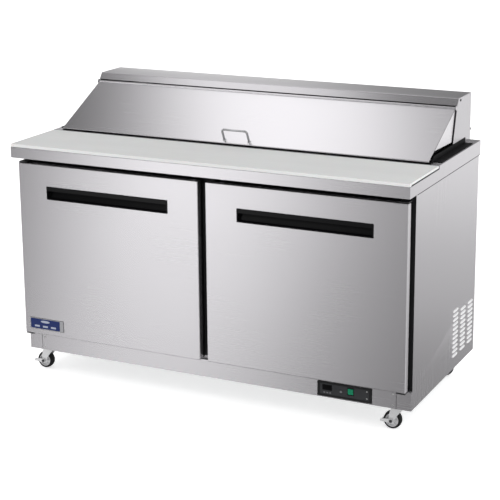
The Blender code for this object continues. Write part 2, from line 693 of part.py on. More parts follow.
def build_door(label, side):
    axis = (HINGE_X * side, HINGE_Y, 0.0)

    def pin_holes():
        holes = []
        for z in (DOOR_Z0, DOOR_Z1):
            reach = PIN_LENGTH + 0.002
            holes.append(rod((axis[0], HINGE_Y, z - reach), (axis[0], HINGE_Y, z + reach), PIN_HOLE_R, 12))
        return holes

    skin = cut(door_skin(side), *pin_holes())
    part(pivot_at(skin, axis), f"door_{label}_skin", STEEL)
    liner = cut(door_liner(side), *pin_holes())
    part(pivot_at(liner, axis), f"door_{label}_liner", WHITE_LINER)
    part(pivot_at(door_gasket(side), axis), f"door_{label}_gasket", GASKET_RUBBER)
    part(pivot_at(door_handle(side), axis), f"door_{label}_handle", BLACK_PLASTIC)

    # Fixed brackets above and below the door, each with a pin into it.
    back = CAB_FRONT - GAP
    x0, x1 = sorted((BRACKET_INNER * side, (DOOR_OUT - 0.001) * side))
    for level, door_edge, up in (("top", DOOR_Z1, 1), ("bottom", DOOR_Z0, -1)):
        near = door_edge + 0.0015 * up
        far = near + BRACKET_T * up
        bracket = plate([(BRACKET_FRONT, near), (back, near), (back, far + BRACKET_T * up),
                         (back - BRACKET_T, far + BRACKET_T * up), (back - BRACKET_T, far),
                         (BRACKET_FRONT, far)], x0, x1)
        pin_end = door_edge - PIN_LENGTH * up
        join(bracket, rod((axis[0], HINGE_Y, pin_end), (axis[0], HINGE_Y, (near + far) / 2), PIN_R, 12))
        part(bracket, f"hinge_bracket_{level}_{label}", BLACK_PAINT)


def build_badge():
    """Plain rectangular plate low on the left door."""
    badge = box((-0.7420, DOOR_FRONT - 0.0018, 0.1880), (-0.5930, DOOR_FRONT - GAP, 0.2320))
    part(pivot_at(badge, (-HINGE_X, HINGE_Y, 0.0)), "door_badge", BLUE_PLATE)


# ---------------------------------------------------------------- casters
def fork_outline():
    """Cheek outline in (x, z) about the stem axis, rounded about the axle."""
    points = [(-0.036, 0.0820), (0.0150, 0.0820), (0.0110, 0.0620)]
    for step in range(7):
        angle = math.radians(10 - step * 200 / 6)
        points.append((-TRAIL + 0.0110 * math.cos(angle), WHEEL_R + 0.0110 * math.sin(angle)))
    points.append((-0.0400, 0.0620))
    return points


def build_casters():
    """Stem caster: fork with its axle, a wheel, and a brake on the front pair."""
    fork = rod((0, 0, 0.0800), (0, 0, 0.1130), STEM_R)
    cheek_in, cheek_out = WHEEL_HALF + 0.0030, WHEEL_HALF + 0.0055
    join(fork, rod((0, 0, 0.0815), (0, 0, 0.0922), 0.0180),
         box((-0.036, -cheek_out, 0.0790), (0.0150, cheek_out, 0.0820)))
    for side in (-1, 1):
        cheek = plate(fork_outline(), -0.00125, 0.00125)
        cheek.data.transform(Matrix(((0, 1, 0, 0), (1, 0, 0, side * (cheek_in + cheek_out) / 2),
                                     (0, 0, 1, 0), (0, 0, 0, 1))))
        cheek.data.flip_normals()
        join(fork, cheek)
    join(fork, rod((-TRAIL, -0.0200, WHEEL_R), (-TRAIL, 0.0200, WHEEL_R), 0.0040, 12))
    baked(fork)

    hub = 0.0150
    wheel = turned([(0.0044, hub), (0.0100, hub), (0.0115, 0.0090), (0.0220, 0.0090), (0.0235, WHEEL_HALF),
                    (0.0300, WHEEL_HALF), (WHEEL_R, 0.0095), (WHEEL_R, -0.0095), (0.0300, -WHEEL_HALF),
                    (0.0235, -WHEEL_HALF), (0.0220, -0.0090), (0.0115, -0.0090), (0.0100, -hub),
                    (0.0044, -hub), (0.0044, hub)])
    baked(wheel)
    wheel.data.transform(Matrix.Rotation(math.pi / 2, 4, "X"))

    # Brake lever: an arm on the front cheek's axle end and a pedal behind the tyre.
    arm_y0, arm_y1 = -0.0235, -0.0205
    brake = box((-BRAKE_REACH, arm_y0, -0.0050), (0.0, arm_y1, 0.0050))
    join(brake, rod((0, arm_y0 - 0.0005, 0), (0, arm_y1 - 0.0005, 0), 0.0080),
         box((-BRAKE_REACH - 0.0003, arm_y0 + 0.0004, -0.0045), (-WHEEL_R - 0.0020, 0.0120, -0.0015)))
    cut(brake, rod((0, -FAR, 0), (0, FAR, 0), 0.0043, 12))
    baked(brake)

    def placed(obj, name, location, look):
        copy = bpy.data.objects.new(name, obj.data.copy())
        copy.location = location
        part(copy, name, look)

    for label, side in SIDES:
        for depth, y in (("front", STEM_FRONT_Y), ("rear", STEM_REAR_Y)):
            stem = Vector((STEM_X * side, y, 0.0))
            axle = stem + Vector((-TRAIL, 0.0, WHEEL_R))
            placed(fork, f"caster_fork_{depth}_{label}", stem, BRIGHT_STEEL)
            placed(wheel, f"caster_wheel_{depth}_{label}", axle, TYRE_RUBBER)
            if depth == "front":
                placed(brake, f"caster_brake_{label}", axle, BRIGHT_STEEL)
    for original in (fork, wheel, brake):
        bpy.data.objects.remove(original, do_unlink=True)


# ---------------------------------------------------------------- refrigeration
def comb(teeth, pitch, tooth, root_z, tip_z):
    """Outline of a finned block: a spine with upright fins, in (y, z)."""
    points = [(0.0, root_z)]
    length = (teeth - 1) * pitch + tooth
    points.append((length, root_z))
    for index in reversed(range(teeth)):
        start = index * pitch
        points += [(start + tooth, tip_z), (start, tip_z)]
        if index:
            points += [(start, root_z + 0.006), (start - pitch + tooth, root_z + 0.006)]
    return points


def finned_block(teeth, pitch, tooth, height, depth):
    """Fins stacked along local X, standing on a spine; depth runs along Y."""
    block = plate(comb(teeth, pitch, tooth, 0.0, height), -depth / 2, depth / 2)
    block.data.transform(Matrix(((0, 1, 0, 0), (1, 0, 0, 0), (0, 0, 1, 0), (0, 0, 0, 1))))
    block.data.flip_normals()
    return block


def fan(hub_r, tip_r, depth, blades=5):
    """Axial fan about local Y: a hub and pitched blades."""
    wheel = rod((0, -depth / 2, 0), (0, depth / 2, 0), hub_r, 12)
    for index in range(blades):
        blade = box((hub_r * 0.6, -0.0010, -hub_r * 0.75), (tip_r, 0.0010, hub_r * 0.75))
        blade.data.transform(Matrix.Rotation(math.radians(28), 4, "X"))
        blade.data.transform(Matrix.Rotation(2 * math.pi * index / blades, 4, "Y"))
        join(wheel, blade)
    return baked(wheel)


def build_refrigeration():
    deck = BASE_Z + BASE_T + GAP
    compressor = turned([(0.0, 0.185), (0.030, 0.183), (0.055, 0.172), (0.068, 0.150), (0.070, 0.095),
                         (0.070, 0.045), (0.062, 0.020), (0.045, 0.008), (0.0, 0.006)], 16)
    baked(compressor)
    join(compressor, box((-0.085, -0.055, 0.0), (0.085, 0.055, 0.012)))
    baked(compressor)
    compressor.location = (0.300, 0.190, deck)
    part(compressor, "compressor", BLACK_PAINT)

    condenser = finned_block(14, 0.016, 0.006, 0.190, 0.060)
    condenser.location = (0.515, 0.315, deck)
    part(condenser, "condenser_coil", FIN_ALUMINIUM)

    condenser_fan = fan(0.022, 0.085, 0.030)
    condenser_fan.location = (0.625, 0.225, deck + 0.100)
    part(condenser_fan, "condenser_fan", BLACK_PLASTIC)

    evaporator = finned_block(24, 0.016, 0.006, 0.170, 0.060)
    evaporator.location = (-0.190, REAR_WALL_IN - 0.0305, 0.560)
    part(evaporator, "evaporator_coil", FIN_ALUMINIUM)

    evaporator_fan = fan(0.018, 0.070, 0.026)
    evaporator_fan.location = (0.0, 0.222, 0.645)
    part(evaporator_fan, "evaporator_fan", BLACK_PLASTIC)

    def inlet_rod(y0, y1, radius, segments=16):
        return rod((INLET_X, y0, INLET_Z), (INLET_X, y1, INLET_Z), radius, segments)

    inlet = inlet_rod(BACK_Y - 0.018, BACK_Y - 0.0002, 0.0110)
    join(inlet, inlet_rod(BACK_Y - 0.009, BACK_Y - 0.0033, 0.0150))
    cut(inlet, inlet_rod(BACK_Y - FAR, BACK_Y + FAR, 0.0045, 12))
    part(inlet, "power_inlet", BLACK_PLASTIC)


SHELF_X0 = 0.045
SHELF_X1 = 0.712
SHELF_FRONT = -0.260
SHELF_REAR = {"left": 0.200, "right": 0.055}     # the right one stops at the machine compartment
SHELF_Z = 0.430
SHELF_T = 0.006
SHELF_EDGE = 0.008
SHELF_BAR = 0.005
SHELF_SLOTS = 20


def build_shelves():
    """One wire shelf on each side of the mullion, as a slotted grid."""
    for label, side in SIDES:
        rear = SHELF_REAR[label]
        grid = side_box((SHELF_X0, SHELF_FRONT, SHELF_Z), (SHELF_X1, rear, SHELF_Z + SHELF_T), side)
        slots = []
        pitch = (SHELF_X1 - SHELF_X0 - SHELF_EDGE) / SHELF_SLOTS
        for index in range(SHELF_SLOTS):
            start = SHELF_X0 + SHELF_EDGE + index * pitch
            slots.append(mirrored((start, SHELF_FRONT + SHELF_EDGE, SHELF_Z - FAR),
                                  (start + pitch - SHELF_BAR, rear - SHELF_EDGE, SHELF_Z + FAR), side))
        cut(grid, boxes(slots))
        part(grid, f"shelf_{label}", BRIGHT_STEEL)


for label, side in SIDES:
    build_side_panel(f"side_panel_{label}", side)
    build_hood_end(label, side)
    build_door(label, side)
build_rear_panel()
build_walls()
build_face_frame()
build_base_pan()
build_kick_panel()
build_controls()
build_worktop()
build_pan_frame()
build_pans()
build_hood_cap()
build_lid()
build_badge()
build_casters()
build_refrigeration()
build_shelves()
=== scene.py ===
"""Looks of the two-door sandwich prep table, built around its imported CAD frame.

Metres, +X along the width, +Y from front to back, +Z up. Places come from the CAD
nodes' boxes; every piece rides on the body that carries it.
"""
import math

import bmesh
import bpy
from mathutils import Matrix, Vector


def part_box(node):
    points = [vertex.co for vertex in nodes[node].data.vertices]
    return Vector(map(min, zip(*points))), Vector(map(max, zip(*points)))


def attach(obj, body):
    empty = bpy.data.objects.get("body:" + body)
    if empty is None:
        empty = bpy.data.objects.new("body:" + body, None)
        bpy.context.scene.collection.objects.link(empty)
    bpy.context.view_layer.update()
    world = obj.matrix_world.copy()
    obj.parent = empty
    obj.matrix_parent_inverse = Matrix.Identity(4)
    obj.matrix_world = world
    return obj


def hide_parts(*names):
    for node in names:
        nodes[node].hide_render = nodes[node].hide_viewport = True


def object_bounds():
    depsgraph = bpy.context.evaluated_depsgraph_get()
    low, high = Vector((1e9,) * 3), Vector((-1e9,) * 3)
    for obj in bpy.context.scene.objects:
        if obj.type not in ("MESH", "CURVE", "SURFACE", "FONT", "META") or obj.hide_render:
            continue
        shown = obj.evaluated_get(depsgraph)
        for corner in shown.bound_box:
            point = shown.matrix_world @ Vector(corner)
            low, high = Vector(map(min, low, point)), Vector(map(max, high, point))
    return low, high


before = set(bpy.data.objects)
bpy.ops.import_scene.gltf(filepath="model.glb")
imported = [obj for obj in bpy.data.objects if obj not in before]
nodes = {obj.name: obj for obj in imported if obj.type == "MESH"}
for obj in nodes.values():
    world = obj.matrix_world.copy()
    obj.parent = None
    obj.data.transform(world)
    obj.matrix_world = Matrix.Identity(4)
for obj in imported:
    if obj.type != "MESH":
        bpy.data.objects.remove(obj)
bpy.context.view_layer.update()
scene = bpy.context.scene
SIDES = (("left", -1), ("right", 1))

PAN_COUNT = 8
CASTER_TRAIL = 0.024
LOUVRE_COLUMNS = ((0.151, 11), (0.238, 10), (0.323, 10))  # middle of a column, number of slots
LOUVRE_BOTTOM = 0.139
LOUVRE_PITCH = 0.0172
LOUVRE_HEIGHT = 0.006
LOUVRE_HALF = 0.027
FLAT_UNDER = math.radians(0.5)
SMOOTH_UNDER = math.radians(35.0)
SHARP_OVER = math.radians(40.0)
MERGE_WITHIN = 0.00001

# Brightness of the studio's walls: SIDE and FRONT by how far a direction points to +X, the
# other two by how far it points to +Z.
SIDE_LIGHT = ((-1.0, 0.06), (-0.575, 0.05), (-0.48, 1.0), (-0.425, 0.95), (-0.34, 0.3),
              (-0.23, 0.14), (-0.1, 0.36), (0.28, 0.42), (1.0, 0.38))
HEIGHT_LIGHT = ((-1.0, 0.24), (-0.62, 0.15), (-0.45, 0.05), (-0.36, 0.22), (-0.29, 0.52),
                (-0.21, 0.96), (-0.1, 1.0), (0.0, 0.8), (0.09, 0.28), (0.3, 0.28), (0.55, 0.56),
                (1.0, 0.62))
FRONT_LIGHT = ((-1.0, 0.02), (-0.54, 0.02), (-0.51, 0.1), (-0.465, 0.46), (-0.42, 0.4),
               (-0.385, 0.4), (-0.345, 0.06), (-0.27, 0.08), (-0.12, 0.34), (1.0, 0.34))
FAR_LIGHT = ((-1.0, 0.22), (-0.4, 0.32), (0.0, 0.38), (0.6, 0.36), (1.0, 0.4))
BAND_LEAN = -0.055
STUDIO_POWER = 2.95


# ---- shader nodes
class Nodes:
    """A node tree, with short calls for the nodes used here."""

    def __init__(self, tree):
        self.tree = tree

    def link(self, source, target):
        self.tree.links.new(source, target)

    def feed(self, socket, value):
        """Link a socket to another one, or set it to a number or a colour."""
        if isinstance(value, bpy.types.NodeSocket):
            self.link(value, socket)
        else:
            socket.default_value = (*value, 1.0) if isinstance(value, tuple) else value

    def node(self, kind, **values):
        made = self.tree.nodes.new(kind)
        for key, value in values.items():
            setattr(made, key, value)
        return made

    def ranged(self, value, low, high, start=0.0, end=1.0, **values):
        """Map value from start..end to low..high, clamped."""
        made = self.node("ShaderNodeMapRange", **values)
        for socket, number in (("From Min", start), ("From Max", end), ("To Min", low), ("To Max", high)):
            made.inputs[socket].default_value = number
        self.link(value, made.inputs["Value"])
        return made.outputs["Result"]

    def maths(self, operation, a, b):
        made = self.node("ShaderNodeMath", operation=operation)
        for socket, value in zip(made.inputs, (a, b)):
            self.feed(socket, value)
        return made.outputs["Value"]

    def blend(self, fac, low, high, **values):
        """A colour between low and high, which are colours or sockets."""
        made = self.node("ShaderNodeMix", data_type="RGBA", **values)
        for socket, value in zip((made.inputs["Factor"], made.inputs[6], made.inputs[7]), (fac, low, high)):
            self.feed(socket, value)
        return made.outputs[2]

    def surface(self, fac, first, second, target):
        """Mix two shaders' outputs into a target socket."""
        mix = self.node("ShaderNodeMixShader")
        for socket, value in zip(mix.inputs, (fac, first, second)):
            self.link(value, socket)
        self.link(mix.outputs["Shader"], target)


class Shader(Nodes):
    """A Principled material with short calls for the nodes that drive it."""

    def __init__(self, name, colour, roughness, metallic=0.0, **constants):
        self.material = bpy.data.materials.new(name)
        self.material.use_nodes = True
        super().__init__(self.material.node_tree)
        self.bsdf = self.tree.nodes["Principled BSDF"]
        self.colour = colour
        self.roughness = roughness
        self.set("Base Color", colour)
        self.set("Roughness", roughness)
        self.set("Metallic", metallic)
        for socket, value in constants.items():
            self.set(socket.replace("_", " "), value)

    def set(self, socket, value):
        """Set or link a socket of the Principled shader."""
        self.feed(self.bsdf.inputs[socket], value)

    def place(self, scale=(1.0, 1.0, 1.0), turn=(0.0, 0.0, 0.0)):
        """Object coordinates in metres, stretched by scale."""
        coordinates = self.node("ShaderNodeTexCoord")
        mapping = self.node("ShaderNodeMapping")
        mapping.inputs["Scale"].default_value = scale
        mapping.inputs["Rotation"].default_value = turn
        self.link(coordinates.outputs["Object"], mapping.inputs["Vector"])
        return mapping.outputs["Vector"]

    def noise(self, vector, scale=1.0, detail=3.0, roughness=0.5):
        made = self.node("ShaderNodeTexNoise")
        for socket, number in (("Scale", scale), ("Detail", detail), ("Roughness", roughness)):
            made.inputs[socket].default_value = number
        self.link(vector, made.inputs["Vector"])
        return made.outputs["Fac"]

    def cells(self, vector, scale, feature="F1", output="Distance"):
        made = self.node("ShaderNodeTexVoronoi", feature=feature)
        made.inputs["Scale"].default_value = scale
        self.link(vector, made.inputs["Vector"])
        return made.outputs[output]

    def mean(self, a, b, share):
        """The share of a and the rest of b."""
        return self.maths("ADD", self.maths("MULTIPLY", a, share), self.maths("MULTIPLY", b, 1.0 - share))

    def tint(self, fac, spread):
        """Drive the base colour from spread darker to spread lighter."""
        low = tuple(c * (1 - spread) for c in self.colour)
        high = tuple(min(1.0, c * (1 + spread)) for c in self.colour)
        self.set("Base Color", self.blend(fac, low, high))

    def rough(self, fac, spread):
        self.set("Roughness", self.ranged(fac, self.roughness - spread, self.roughness + spread))

    def bump(self, height, strength, distance):
        made = self.node("ShaderNodeBump")
        made.inputs["Strength"].default_value = strength
        made.inputs["Distance"].default_value = distance
        self.link(height, made.inputs["Height"])
        self.set("Normal", made.outputs["Normal"])


def brushed(name, grain, colour=(0.632, 0.618, 0.64), roughness=0.27, anisotropic=0.9):
    """Stainless sheet with grain along one axis: streaks and a stretched highlight.

    Grain "folded" runs level on faces that look to the front or back and upright on the sides.
    """
    made = Shader(name, colour, roughness, 1.0, Anisotropic=anisotropic, Anisotropic_Rotation=0.25)
    # No grain axis is quite square to a face.
    ways = {"x": (1.0, 0.02, 0.03), "y": (0.02, 1.0, 0.03), "z": (0.02, 0.03, 1.0)}

    def streaked(axis):
        fine = tuple(4.0 if other == axis else 1700.0 for other in "xyz")
        broad = tuple(1.2 if other == axis else 130.0 for other in "xyz")
        thin = made.noise(made.place(fine), detail=4.0, roughness=0.7)
        wide = made.noise(made.place(broad), detail=2.0)
        return made.mean(thin, wide, 0.7)

    def direction(axis):
        vector = made.node("ShaderNodeCombineXYZ")
        for socket, value in zip(vector.inputs, ways[axis]):
            socket.default_value = value
        return vector.outputs["Vector"]

    if grain == "folded":
        where = made.node("ShaderNodeNewGeometry")
        split = made.node("ShaderNodeSeparateXYZ")
        made.link(where.outputs["True Normal"], split.inputs["Vector"])
        front = made.maths("GREATER_THAN", made.maths("ABSOLUTE", split.outputs["Y"], 0.0), 0.7)
        choice = made.node("ShaderNodeMix", data_type="VECTOR")
        made.link(front, choice.inputs["Factor"])
        made.link(direction("z"), choice.inputs[4])
        made.link(direction("x"), choice.inputs[5])
        along = choice.outputs[1]
        streaks = made.blend(front, streaked("z"), streaked("x"))
    else:
        along = direction(grain)
        streaks = streaked(grain)
    clouds = made.noise(made.place(), scale=3.5, detail=2.0)
    made.tint(streaks, 0.035)
    made.rough(made.mean(streaks, clouds, 0.6), 0.02)
    made.bump(streaks, 0.008, 0.0002)
    turned = made.node("ShaderNodeVectorTransform", vector_type="VECTOR",
                       convert_from="OBJECT", convert_to="WORLD")
    made.link(along, turned.inputs["Vector"])
    made.set("Tangent", turned.outputs["Vector"])
    return made.material


def polished(name, colour=(0.7, 0.7, 0.71), roughness=0.18, metallic=1.0):
    """Drawn or tumbled bright metal with faint rub marks."""
    made = Shader(name, colour, roughness, metallic)
    rubs = made.noise(made.place((60, 60, 260)), detail=4.0)
    made.tint(rubs, 0.06)
    made.rough(made.noise(made.place(), scale=35.0), 0.07)
    made.bump(rubs, 0.06, 0.0003)
    return made.material


def galvanised(name):
    """Zinc-coated sheet with its spangle of flat crystals."""
    made = Shader(name, (0.56, 0.58, 0.59), 0.42, 1.0)
    vector = made.place()
    crystals = made.cells(vector, 130.0, output="Color")
    grey = made.node("ShaderNodeRGBToBW")
    made.link(crystals, grey.inputs["Color"])
    made.tint(grey.outputs["Val"], 0.16)
    made.rough(grey.outputs["Val"], 0.12)
    made.bump(made.cells(vector, 130.0, "DISTANCE_TO_EDGE"), 0.1, 0.0003)
    return made.material


def moulded(name, colour, roughness, grain=900.0, depth=0.12, spread=0.05, **constants):
    """Moulded plastic or rubber: a fine eroded texture, and slow tone changes."""
    made = Shader(name, colour, roughness, 0.0, **constants)
    pits = made.noise(made.place(), scale=grain, detail=2.0)
    flow = made.noise(made.place(), scale=7.0, detail=3.0)
    made.tint(flow, spread)
    made.rough(made.mean(pits, flow, 0.4), 0.09)
    made.bump(pits, depth, 0.0003)
    return made.material


def polyethylene(name):
    """Cutting board: pebbled face, faint knife lines and slightly worn tone."""
    made = Shader(name, (0.7, 0.7, 0.695), 0.52, 0.0, Subsurface_Weight=0.05)
    pebble = made.noise(made.place(), scale=650.0, detail=2.0)
    wear = made.noise(made.place((1.2, 5.0, 5.0)), scale=2.2, detail=4.0)
    cuts = made.noise(made.place((9.0, 620.0, 1.0), (0.0, 0.0, 0.35)), detail=1.0)
    lines = made.ranged(cuts, 0.0, 1.0, 0.66, 0.72)
    tone = made.blend(wear, (0.66, 0.66, 0.655), (0.74, 0.74, 0.735))
    made.set("Base Color", made.blend(made.maths("MULTIPLY", lines, 0.35), tone, (0.58, 0.58, 0.575)))
    made.rough(pebble, 0.08)
    made.bump(made.maths("SUBTRACT", pebble, made.maths("MULTIPLY", lines, 0.5)), 0.2, 0.0004)
    return made.material


def painted(name, colour, roughness):
    """Sprayed paint with orange peel."""
    made = Shader(name, colour, roughness, 0.0, Coat_Weight=0.3)
    peel = made.noise(made.place(), scale=240.0, detail=2.0)
    made.tint(made.noise(made.place(), scale=12.0), 0.12)
    made.rough(peel, 0.08)
    made.bump(peel, 0.15, 0.0004)
    return made.material


STEEL_X = brushed("brushed_steel_level", "x")
STEEL_Z = brushed("brushed_steel_upright", "z")
# Painted shade: the hood cap's top is the same stainless, given a darker colour for how it lies in the
# light.
STEEL_CAP_SHADED = brushed("brushed_steel_cap_painted_shade", "x", (0.54, 0.528, 0.547), 0.3, 0.0)
# Painted light: the lid's end wings are the same stainless, given a lighter colour for how they catch the
# light.
STEEL_WING_LIT = brushed("brushed_steel_wing_painted_light", "z", (0.76, 0.745, 0.768))
# Painted shade: the hood's end plates are the same stainless, given a darker colour for how they lie in the
# light.
STEEL_END_SHADED = brushed("brushed_steel_end_painted_shade", "z", (0.56, 0.548, 0.567))
STEEL_LIP = brushed("brushed_steel_lip", "x", roughness=0.16, anisotropic=0.5)
STEEL_FOLDED = brushed("brushed_steel_folded", "folded")
BRIGHT = polished("bright_steel")
ROD_STEEL = polished("handle_rod_steel", (0.44, 0.44, 0.45), 0.22)
ZINC = polished("zinc_plate", (0.6, 0.61, 0.6), 0.3)
CHROMATE = polished("bright_zinc_plate", (0.78, 0.78, 0.79), 0.3, 0.5)
DARK_STEEL = polished("dark_steel", (0.1, 0.1, 0.105), 0.35)
COPPER = polished("copper", (0.72, 0.36, 0.22), 0.28)
ALUMINIUM = polished("fin_aluminium", (0.72, 0.74, 0.76), 0.34)
GALVANISED = galvanised("galvanised_steel")
BLACK = moulded("black_plastic", (0.01, 0.01, 0.011), 0.42, Specular_IOR_Level=0.22)
GLOSS = moulded("gloss_black_plastic", (0.003, 0.003, 0.0035), 0.16, 60.0, 0.03,
                Specular_IOR_Level=0.1)
MATT_BLACK = moulded("matt_black_plastic", (0.008, 0.008, 0.0085), 0.55, Specular_IOR_Level=0.06)
# Painted shade: only the mullion strip wears this dark grey, which keeps the gap between the doors dark.
SHADE_CHARCOAL = moulded("charcoal_painted_shade", (0.028, 0.028, 0.03), 0.5, Specular_IOR_Level=0.2)
GREY_FACE = moulded("dark_grey_plastic", (0.03, 0.031, 0.034), 0.45, Specular_IOR_Level=0.2)
GREY_KEY = moulded("grey_key", (0.14, 0.14, 0.15), 0.4)
SILVER = polished("silver_plate", (0.48, 0.48, 0.5), 0.3)
# Painted light: the louvre hoods are pressed from the panel's stainless, given a lighter, less metallic
# colour so that they read as bright dashes.
PRESSED_LIT = polished("pressed_louvre_steel_painted_light", (0.86, 0.86, 0.87), 0.36, 0.35)
GASKET = moulded("gasket_vinyl", (0.012, 0.012, 0.013), 0.55, 500.0, Specular_IOR_Level=0.2)
LINER = moulded("white_liner", (0.78, 0.79, 0.8), 0.36, 350.0, 0.08, 0.03)
TYRE = moulded("tyre_rubber", (0.01, 0.01, 0.0105), 0.62, 420.0, 0.25, 0.25, Specular_IOR_Level=0.15)
HUB = moulded("grey_hub", (0.62, 0.62, 0.63), 0.4)
BOARD = polyethylene("cutting_board_polyethylene")
BLACK_PAINT = painted("black_paint", (0.012, 0.012, 0.014), 0.36)
BLUE = moulded("blue_enamel", (0.012, 0.024, 0.11), 0.3, 240.0, 0.04, 0.1, Specular_IOR_Level=0.2)
EMBLEM = moulded("pale_emblem", (0.34, 0.37, 0.46), 0.35)
GREEN = moulded("green_lens", (0.008, 0.19, 0.095), 0.22, 300.0, 0.05, 0.15, Specular_IOR_Level=0.3)

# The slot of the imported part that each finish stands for.
SLOTS = {finish: slot for slot, finishes in (
    ("stainless", (STEEL_X, STEEL_Z, STEEL_CAP_SHADED, STEEL_WING_LIT, STEEL_END_SHADED, STEEL_LIP, STEEL_FOLDED, PRESSED_LIT)),
    ("bright_steel", (BRIGHT, ROD_STEEL, ZINC, CHROMATE, DARK_STEEL, COPPER, SILVER, HUB, EMBLEM)),
    ("black_plastic", (BLACK, SHADE_CHARCOAL, GREY_FACE, GREY_KEY)), ("gloss_black", (GLOSS,)),
    ("gasket", (GASKET,)), ("white_liner", (LINER,)), ("tyre", (TYRE,)), ("board", (BOARD,)),
    ("blue_plate", (BLUE,))) for finish in finishes}

# The finish of each CAD node, by how its name starts.
NODE_FINISHES = {start: finish for finish, starts in (
    (STEEL_X, "door_left_skin door_right_skin kick_panel lid_panel"), (STEEL_Z, "face_frame"),
    (STEEL_FOLDED, "side_panel worktop_rim"), (STEEL_END_SHADED, "hood_end"), (STEEL_CAP_SHADED, "hood_cap"),
    (BRIGHT, "lid_handle pan_ shelf caster_fork caster_brake"), (GALVANISED, "rear_panel base_pan"),
    (LINER, "wall_ door_left_liner door_right_liner"), (GASKET, "door_left_gasket door_right_gasket"),
    (GLOSS, "door_left_handle door_right_handle"), (MATT_BLACK, "pan_frame"), (TYRE, "caster_wheel"),
    (BLACK, "control_bezel thermostat_button condenser_fan evaporator_fan power_inlet"),
    (BLACK_PAINT, "compressor hinge_bracket"), (ALUMINIUM, "condenser_coil evaporator_coil"),
    (BLUE, "door_badge"), (GREEN, "rocker_switch"), (BOARD, "cutting_board"),
) for start in starts.split()}


def rounded_edges(obj, width):
    bevel = obj.modifiers.new("rounding", "BEVEL")
    bevel.width = width
    bevel.segments = 3
    bevel.limit_method = "ANGLE"
    bevel.angle_limit = SHARP_OVER
    bevel.harden_normals = True


def soften(obj, width):
    """Round a CAD node's edges without touching its mesh: merge, make flat faces whole, bevel."""
    weld = obj.modifiers.new("weld", "WELD")
    weld.merge_threshold = MERGE_WITHIN
    flat = obj.modifiers.new("flat", "DECIMATE")
    flat.decimate_type = "DISSOLVE"
    flat.angle_limit = FLAT_UNDER
    rounded_edges(obj, width)


def finish_nodes():
    """Give every CAD node its finish, by the longest start of its name."""
    for name, obj in nodes.items():
        start = max((start for start in NODE_FINISHES if name.startswith(start)), key=len)
        obj.data.materials.clear()
        obj.data.materials.append(NODE_FINISHES[start])
        soften(obj, 0.0005)


# ---- building pieces
class Form:
    """Simple solids collected in one mesh, in the row frame, then filed as one piece."""

    def __init__(self):
        self.bm = bmesh.new()

    def absorb(self, other):
        """Take over another bmesh's geometry."""
        mesh = bpy.data.meshes.new("absorbed")
        other.to_mesh(mesh)
        other.free()
        self.bm.from_mesh(mesh)
        bpy.data.meshes.remove(mesh)
        return self

    def box(self, low, high):
        low, high = Vector(low), Vector(high)
        place = Matrix.Translation((low + high) / 2) @ Matrix.Diagonal((*(high - low), 1.0))
        bmesh.ops.create_cube(self.bm, size=1.0, matrix=place)
        return self

    def both(self, low, high):
        """A box and its mirror image across the middle of the table."""
        return self.box(low, high).box((-high[0], *low[1:]), (-low[0], *high[1:]))

    def rod(self, start, end, radius, segments=24):
        """A round bar, or a many-sided one with fewer segments."""
        start, end = Vector(start), Vector(end)
        axis = end - start
        place = Matrix.Translation((start + end) / 2) @ axis.to_track_quat("Z", "Y").to_matrix().to_4x4()
        bmesh.ops.create_cone(self.bm, cap_ends=True, segments=segments, radius1=radius, radius2=radius,
                              depth=axis.length, matrix=place)
        return self

    def lathe(self, profile, centre, axis, steps=40):
        """A (radius, height) profile turned about an axis through centre."""
        bm = bmesh.new()
        verts = [bm.verts.new((radius, 0.0, height)) for radius, height in profile]
        edges = [bm.edges.new(pair) for pair in zip(verts, verts[1:])]
        bmesh.ops.spin(bm, geom=verts + edges, cent=(0, 0, 0), axis=(0, 0, 1), dvec=(0, 0, 0),
                       angle=math.tau, steps=steps, use_merge=True)
        bmesh.ops.remove_doubles(bm, verts=bm.verts, dist=MERGE_WITHIN)
        turn = Vector(axis).to_track_quat("Z", "Y").to_matrix().to_4x4()
        bm.transform(Matrix.Translation(centre) @ turn)
        return self.absorb(bm)

    def prism(self, outline, axis, start, end):
        """An outline in the two other axes, in their own order, extruded along axis."""
        place = {"x": lambda a, b, c: (c, a, b), "y": lambda a, b, c: (a, c, b),
                 "z": lambda a, b, c: (a, b, c)}[axis]
        face = self.bm.faces.new([self.bm.verts.new(place(a, b, start)) for a, b in outline])
        moved = bmesh.ops.extrude_face_region(self.bm, geom=[face])["geom"]
        verts = [item for item in moved if isinstance(item, bmesh.types.BMVert)]
        shift = Vector(place(0, 0, end)) - Vector(place(0, 0, start))
        bmesh.ops.translate(self.bm, vec=shift, verts=verts)
        return self

    def both_ends(self, outline, start, end):
        """A prism along X and its mirror image across the middle of the table."""
        return self.prism(outline, "x", start, end).prism(outline, "x", -end, -start)

    def loops(self, rings, closed=False):
        """Skin between rings of equally many points; closed joins the last ring to the first."""
        made = [[self.bm.verts.new(point) for point in ring] for ring in rings]
        pairs = list(zip(made, made[1:]))
        if closed:
            pairs.append((made[-1], made[0]))
        for one, two in pairs:
            for index in range(len(one)):
                after = (index + 1) % len(one)
                self.bm.faces.new((one[index], one[after], two[after], two[index]))
        if not closed:
            self.bm.faces.new(made[-1])
        return self

    def stamp(self, mesh, place):
        bm = bmesh.new()
        bm.from_mesh(mesh)
        bm.transform(place)
        return self.absorb(bm)

    def object(self, name="tool"):
        bmesh.ops.recalc_face_normals(self.bm, faces=self.bm.faces)
        mesh = bpy.data.meshes.new(name)
        self.bm.to_mesh(mesh)
        self.bm.free()
        return smooth_object(name, mesh)

    def piece(self, name, *details, **more):
        """File the form as a piece, with the details that filed takes."""
        return filed(self.object(name), *details, **more)


